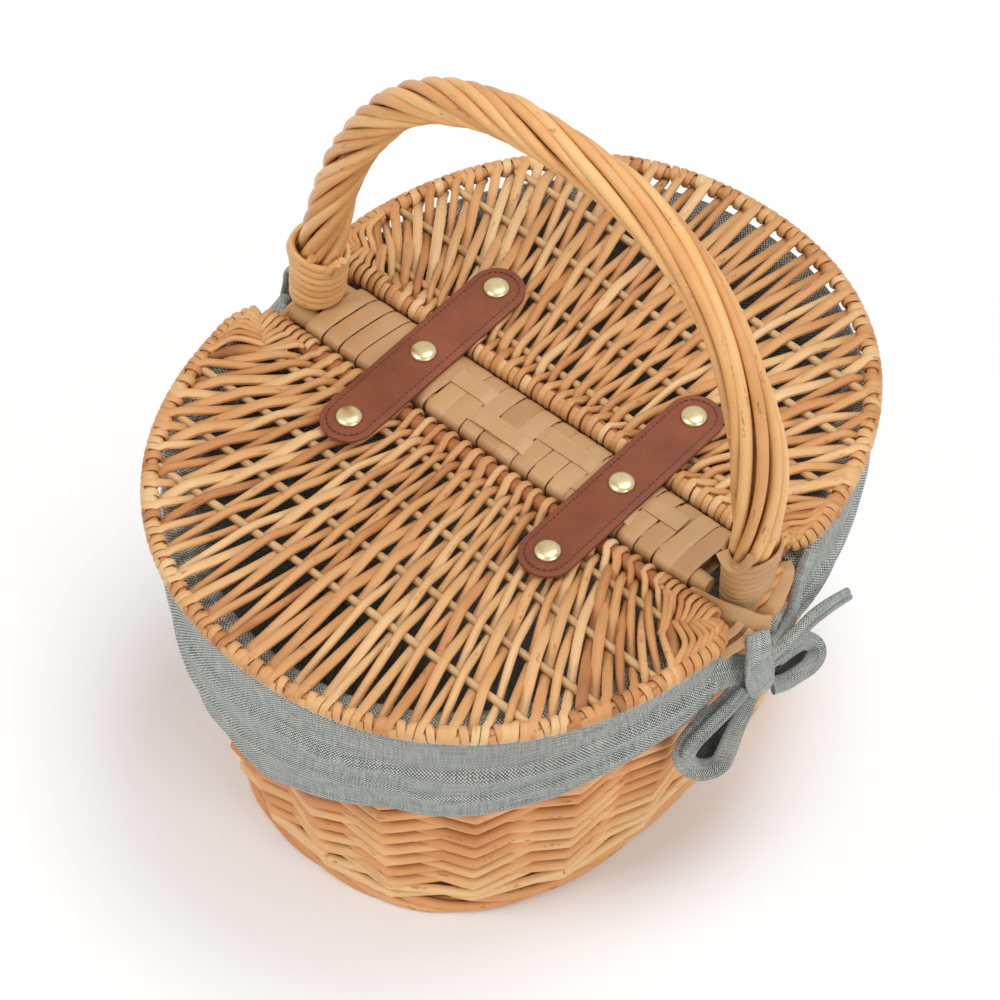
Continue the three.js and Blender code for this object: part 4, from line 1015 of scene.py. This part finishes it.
def arch(t):
    """The handle's centre line from the left foot, t = 0, to the right foot, t = 1."""
    turn = math.pi * (1 - t)
    c = np.cos(turn)
    across = np.sign(c) * np.abs(c) ** (2 / HANDLE_POWER)
    height = np.abs(np.sin(turn)) ** (2 / HANDLE_POWER)
    span = (HANDLE_FEET[1] - HANDLE_FEET[0]) / 2
    middle = (HANDLE_FEET[1] + HANDLE_FEET[0]) / 2
    x = middle + span * across + HANDLE_SHIFT * np.sin(math.pi / 2 * height)
    return points_at(x, HANDLE_LEAN * HANDLE_RISE * height, HANDLE_FOOT_LEVEL + HANDLE_RISE * height)


def even_arch(count):
    fine = arch(np.linspace(0, 1, 2001))
    run = lengths_along(fine)
    return sampled(fine, run, np.linspace(0, run[-1], count))


def twist(share):
    """Turns that the rods have made up to this share of the handle."""
    fine = np.linspace(0, 1, 401)
    rate = np.interp(fine, *zip(*HANDLE_TWIST))
    turns = np.concatenate([[0], np.cumsum((rate[1:] + rate[:-1]) / 2 * np.diff(fine))])
    return np.interp(share, fine, turns)


def build_handle():
    dice = random.Random(17)
    centre = even_arch(220)
    run = unit(np.gradient(centre, axis=0))
    outward = unit(np.cross(run, unit(np.array([0, 1, -HANDLE_LEAN]))))
    across = unit(np.cross(outward, run))
    s = np.linspace(0, 1, len(centre))
    spread = 2.8 * bell(s - 0.85, 0.08) + 0.6 * bell(s - 0.08, 0.06)
    rope = Piece("handle_twist")
    for k in range(HANDLE_RODS):
        wander = 0.13 * np.sin(s * dice.uniform(9, 16) + dice.uniform(0, 6))
        turn = 2 * math.pi * (k / HANDLE_RODS - twist(s)) + wander
        reach = HANDLE_TWIST_RADIUS + 0.35 * np.sin(s * dice.uniform(12, 20) + k)
        reach = reach + spread * dice.uniform(0.7, 1.3)
        reach = reach - 2.2 * np.clip((s - 0.97) / 0.03, 0, 1)
        out = (reach * np.cos(turn))[:, None] * outward
        route = centre + out + (reach * np.sin(turn))[:, None] * across
        route = np.vstack([route[:1] - (0, 0, 9), route, route[-1:] - (0, 0, 9)])
        thick = dice.uniform(0.9, 1.08) * (HANDLE_ROD_RADIUS + 0.12 * np.sin(s * 21 + k * 2))
        radius = np.concatenate([[2.6], thick, [2.6]])
        rope.strand(route, radius, radius, (0.1, 1, 0.05), 0.35 + dice.uniform(-0.2, 0.3), 12)
    core = np.vstack([centre[:1] - (0, 0, 20), centre, centre[-1:] - (0, 0, 20)])
    rope.strand(core, HANDLE_CORE_RADIUS, HANDLE_CORE_RADIUS, (0.1, 1, 0.05), 0.85)
    rope.finish("basket", handle_rods, "willow", ["handle_rope", "handle_core"])


def foot_turns(name, foot_x, turns, half_high, half_thick, tilts, reaches, square, top=35, drop=0):
    """Turns wound round a handle's foot; tilts and reaches are the lowest turn's and the top one's."""
    dice = random.Random(int(abs(foot_x)))
    wraps = Piece(name)
    turn = full_turn(32)
    c, s = np.cos(turn), np.sin(turn)
    for k in range(turns):
        share = k / (turns - 1)
        z = HANDLE_FOOT_LEVEL - drop + half_high + share * (top + drop - 2 * half_high)
        height = (z - HANDLE_FOOT_LEVEL) / HANDLE_RISE
        middle_x = foot_x + HANDLE_SHIFT * math.sin(math.pi / 2 * height)
        reach = reaches[0] + (reaches[1] - reaches[0]) * math.sin(math.pi / 2 * share) + half_thick
        reach = reach + 0.25 * np.sin(2 * turn + k)
        tilt = tilts[0] * (1 - share) + tilts[1] * share + dice.uniform(-0.3, 0.3)
        z = z + tilt * (c * TILT_WAY[0] + s * TILT_WAY[1])
        route = points_at(middle_x + reach * c, 0.4 + reach * s, z)
        out = points_at(c, s, 0)
        wraps.strand(route, half_thick, half_high, out, dice.uniform(0.2, 0.5), 10, True, square)
    return wraps


def build_left_foot():
    """Round turns, the loop of a rod's end over them, and three cut ends."""
    wraps = foot_turns("foot_turns_left", HANDLE_FEET[0], 7, 2.55, 1.7, (1.0, -4.5), (10.6, 11.6), 1.0)
    keys = [(-137, -10, 231), (-141, -7, 238), (-141, 1, 243), (-136, 7, 244), (-128, 10, 238)]
    wraps.strand(smooth_route(keys, 24), 2.0, 1.5, (0.5, 0.3, 1), 0.35, 10)
    for x, y, lean in ((-128, -11.5, 5), (-118.5, -6.5, 7), (-115, -3.5, 4)):
        stub = [(x, y, 231), (x + lean * 0.4, y, 237), (x + lean, y + 1.5, 243)]
        wraps.strand(stub, 2.1, 2.1, (1, 0, 0), 0.3, 10)
    wraps.finish("basket", handle_rods, "willow", ["handle_wrap_left"])


def add_strip(wraps, keys, wide, half_thick, tone, square, count=24):
    """A flat strip of skein through keys, with its face to the photograph's view."""
    route = smooth_route(keys, count)
    across = across_for(route, TO_VIEW)
    wraps.strand(route, np.linspace(*wide, count), half_thick, across, tone, 8, False, square)


def build_right_foot():
    """Flat turns, a strip folded up at their top, a band over the border and its loose ends."""
    turns = (8, 2.4, 1.1, (7.5, 5.0), (10.4, 12.0), 0.85, 25, 9)
    wraps = foot_turns("foot_turns_right", HANDLE_FEET[1], *turns)
    fold = smooth_route([(132.6, -11, 228), (135.7, -12, 225.3), (139.9, -12.5, 223.6), (144.6, -12, 226),
                         (147.8, -11, 231.8), (149, -10, 237)], 24)
    wraps.strand(fold, np.linspace(3.2, 2.2, 24), 0.9, across_for(fold, TO_VIEW), 0.2, 10, False, 0.7)
    upper = smooth_route([(124.5, -20.6, 203.6), (129.4, -19.6, 203.4), (136.7, -17.6, 202),
                          (141.8, -15.5, 201), (149.2, -11.6, 199), (154.6, -8.4, 196.4),
                          (158.2, -4, 194.4)], 36)
    lower = smooth_route([(124.2, -20.8, 200), (130, -19.6, 196), (136.7, -18.4, 192.6),
                          (141.9, -17.6, 190), (147.4, -16, 188), (153.7, -14, 186.4),
                          (158.4, -9, 185.2)], 36)
    middle = (upper + lower) / 2 + unit((upper + lower) / 2 - (138, 4, 196)) * 1.6
    band = np.stack([upper, middle, lower], axis=1)
    wraps.patch(closed_round(band, band + unit(band - (138, 4, 193)) * 1.0), 0.45)
    for half, level, x in ((2.0, 193, 149.5), (2.3, 190.5, 155.5)):
        keys = [(x, -14.6, level), (x, -20, level - 2), (x - 2, -27, level - 4), (x - 4, -32, level - 6)]
        add_strip(wraps, keys, (half, half), 0.5, 0.55, 0.5, 16)
    keys = [(150, 17, 207), (154.5, 12.5, 207), (156.6, 5.5, 203), (156.8, -0.5, 197), (154, -4.5, 189)]
    add_strip(wraps, keys, (2.4, 4.2), 0.6, 0.3, 0.5)
    wraps.finish("basket", skein, "skein", ["handle_wrap_right"])


# Straps and studs


def bend_at_flex(made, place, end, side):
    """Bakes where a piece of a strap stands into its mesh; the ends of its flex line, between the bar and
    the lid, are found but not used.
    """
    x, body = STRAP_X[place], f"lid_{end}"
    ends = [(x, side * (HINGE_Y + half), STRAP_BOTTOM) for half in (-FLEX_HALF, FLEX_HALF)]
    start, stop = [tuple(c * MM for c in point) for point in ends]
    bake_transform(made)


def build_strap(place, end, side):
    """Half of a strap, from under the middle stud to its rounded end on a lid."""
    run = (STUD_SPACING + STRAP_HALF) * (1 - (1 - np.linspace(0, 1, 60)) ** 1.35)
    past = np.clip(run - STUD_SPACING, 0, None)[:, None]
    from_middle = np.sqrt(np.maximum(STRAP_HALF**2 - past**2, 0)) * np.linspace(-1, 1, 15)
    x = STRAP_X[place] + from_middle
    y = STRAP_MIDDLE_Y + side * run[:, None]
    distance = STRAP_HALF - np.hypot(from_middle, past)
    crown = 0.9 * np.clip(distance / 2.2, 0, 1) ** 0.5 - 0.55 * bell(distance - SEAM_INSET, 0.8)
    upper = points_at(x, y, STRAP_BOTTOM + STRAP_THICK - 0.9 + crown)
    strap = Piece(f"strap_{place}_{end}_leather")
    strap.patch(closed_round(upper, points_at(x, y, STRAP_BOTTOM + 0.05)))
    replaced = [f"strap_{place}_{end}"]
    if end == "front":
        replaced.append(f"strap_{place}_centre")
    made = strap.finish(None, hide, "leather", replaced, 40)
    bend_at_flex(made, place, end, side)


def seam_point(s, inset):
    """A point of a strap's seam, s along it: out by one edge, round the end and back by the other."""
    arc = math.pi * inset
    if s < STUD_SPACING:
        return inset, s
    if s < STUD_SPACING + arc:
        turn = (s - STUD_SPACING) / inset
        return inset * math.cos(turn), STUD_SPACING + inset * math.sin(turn)
    return -inset, 2 * STUD_SPACING + arc - s


def build_stitching(place, end, side):
    stitches = Piece(f"strap_{place}_{end}_stitching")
    inset = STRAP_HALF - SEAM_INSET
    level = STRAP_BOTTOM + STRAP_THICK - 0.34
    for k in range(int((2 * STUD_SPACING + math.pi * inset) / STITCH_PITCH)):
        route = []
        for share, lift in ((0.18, -0.12), (0.5, 0.16), (0.82, -0.12)):
            x, y = seam_point((k + share) * STITCH_PITCH, inset)
            route.append((STRAP_X[place] + x, STRAP_MIDDLE_Y + side * y, level + lift))
        stitches.strand(route, 0.46, 0.34, UP, 0.5, 6)
    sewn = stitches.finish(None, thread, "leather", [])
    bend_at_flex(sewn, place, end, side)


def build_stud(place, end, y, body):
    """A domed stud with a rolled rim, its profile turned round its own axis."""
    seat = STRAP_BOTTOM + STRAP_THICK - 0.1
    turn = np.linspace(0, 2 * math.pi, 33)
    turn[-1] = 0
    rings = [points_at(STRAP_X[place] + r * np.cos(turn), y + r * np.sin(turn), seat + z)
             for r, z in STUD_PROFILE]
    stud = Piece(f"stud_{place}_{end}_dome")
    stud.patch(np.array(rings))
    stud.finish(body, stud_brass, "brass", [f"stud_{place}_{end}"], 60)


def build_straps():
    for place in STRAP_X:
        for end, side in (("front", -1), ("back", 1)):
            build_strap(place, end, side)
            build_stitching(place, end, side)
        build_stud(place, "front", STRAP_MIDDLE_Y - STUD_SPACING, "lid_front")
        build_stud(place, "centre", STRAP_MIDDLE_Y, "basket")
        build_stud(place, "back", STRAP_MIDDLE_Y + STUD_SPACING, "lid_back")
    for name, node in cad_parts.items():
        if name.startswith("stud_cap"):
            node.data.materials.clear()
            node.data.materials.append(stud_brass)


def build_bow(name, turned, nodes):
    """One bow; the one at the left end is the right one turned half round the basket's middle."""
    bow = Piece(name)
    for part, (halves, half_thick, face, keys) in BOW.items():
        route = smooth_route(keys, 64 if "loop" in part else 28)
        t = np.linspace(0, 1, len(route))
        wide = np.interp(t, (0, 0.5, 1), halves) * (1 + 0.05 * np.sin(11 * t + len(keys)))
        if part == "band":
            half_thick = half_thick * (1 + 0.35 * np.sin(9 * t))
        # Painted shade: the sheets behind the loops' hollows get tone 1.0, which the linen turns nearly
        # black.
        tone = 1.0 if "lining" in part else 0.5
        bow.strand(route, wide, half_thick, across_for(route, face), tone, 14, False, 0.7)
    if turned:
        for block, _, _ in bow.blocks:
            block[..., :2] *= -1
    made = bow.finish("basket", ribbon, "linen", nodes, 80)


# Stage


def build_floor():
    """A pale floor: it keeps its real shadow near the basket, and farther off a glow seen only by the
    camera and shiny pieces paints it plain white over that shadow.
    """
    disc = bmesh.new()
    bmesh.ops.create_circle(disc, cap_ends=True, segments=64, radius=30)
    mesh = bpy.data.meshes.new("floor")
    disc.to_mesh(mesh)
    disc.free()
    look = Look("floor_paint", Base_Color=(0.94, 0.94, 0.94, 1), Roughness=0.9, Specular_IOR_Level=0.1)
    glow = look.node("ShaderNodeEmission", {}, {"Strength": 1.0})
    # Painted light: the glow fades out towards SHADOW_MIDDLE, front-left of the basket, and beside the
    # foot, so the real shadow shows only there; elsewhere up to nine tenths of it is painted over.
    shadow = {0: look.place(), 1: SHADOW_MIDDLE}
    away = look.node("ShaderNodeVectorMath", {"operation": "DISTANCE"}, shadow, "Value")
    reach = {"Value": away, "From Min": 0.09, "From Max": 0.28, "To Max": 0.9}
    beside = look.node("ShaderNodeVectorMath", {"operation": "LENGTH"}, {0: look.place()}, "Value")
    clear_of_foot = {"Value": beside, "From Min": 0.125, "From Max": 0.18}
    seen = look.seen()
    for ease in (reach, clear_of_foot):
        seen = seen * look.node("ShaderNodeMapRange", {}, ease)
    look.surface(seen, Socket(look, look.shader.outputs[0]), glow, "Material Output")
    mesh.materials.append(look.material)
    made = link("floor", mesh)


def build_world():
    """Soft light from all sides, which the camera and shiny pieces see as a plain pale backdrop."""
    world = bpy.data.worlds.new("studio")
    bpy.context.scene.world = world
    sky = Nodes(world)
    lit = sky.tree.nodes["Background"]
    lit.inputs["Color"].default_value = (1, 1, 1, 1)
    lit.inputs["Strength"].default_value = SKY_STRENGTH
    pale = sky.node("ShaderNodeBackground", {}, {"Strength": 1.0})
    sky.surface(sky.seen(), Socket(sky, lit.outputs[0]), pale, "World Output")


def build_lamp(name, place, target, size, power):
    lamp = bpy.data.lights.new(name, "AREA")
    lamp.shape = "DISK"
    lamp.size = size
    lamp.energy = power
    made = link(name, lamp)
    made.location = place
    made.rotation_euler = (Vector(target) - Vector(place)).to_track_quat("-Z", "Y").to_euler()


def build_camera():
    """The photograph's view."""
    azimuth = math.radians(CAMERA["azimuth"])
    elevation = math.radians(CAMERA["elevation"])
    level = math.cos(elevation)
    way = Vector((math.sin(azimuth) * level, -math.cos(azimuth) * level, math.sin(elevation)))
    camera = bpy.data.cameras.new("camera")
    camera.lens = 172.4
    camera.sensor_width = 36
    camera.clip_end = 100
    made = link("camera", camera)
    made.location = Vector(CAMERA["target"]) + way * CAMERA["distance"]
    made.rotation_euler = (-way).to_track_quat("-Z", "Y").to_euler()
    bpy.context.scene.camera = made


build_camera()
build_wall()
build_foot()
build_border()
build_base()
build_cuff("cuff_front", math.pi, "liner_cuff_front")
build_cuff("cuff_back", 0.0, "liner_cuff_back")
build_bag()
build_lid("front", -1)
build_lid("back", 1)
build_bar()
build_handle()
build_left_foot()
build_right_foot()
build_straps()
build_bow("bow_right", False, ["tie_right_front", "tie_right_back", "tie_right_knot"])
build_bow("bow_left", True, ["tie_left_front", "tie_left_back", "tie_left_knot"])
build_floor()
build_world()
for lamp_name, values in LAMPS.items():
    build_lamp(lamp_name, *values)

scene = bpy.context.scene
scene.view_settings.view_transform = "Standard"
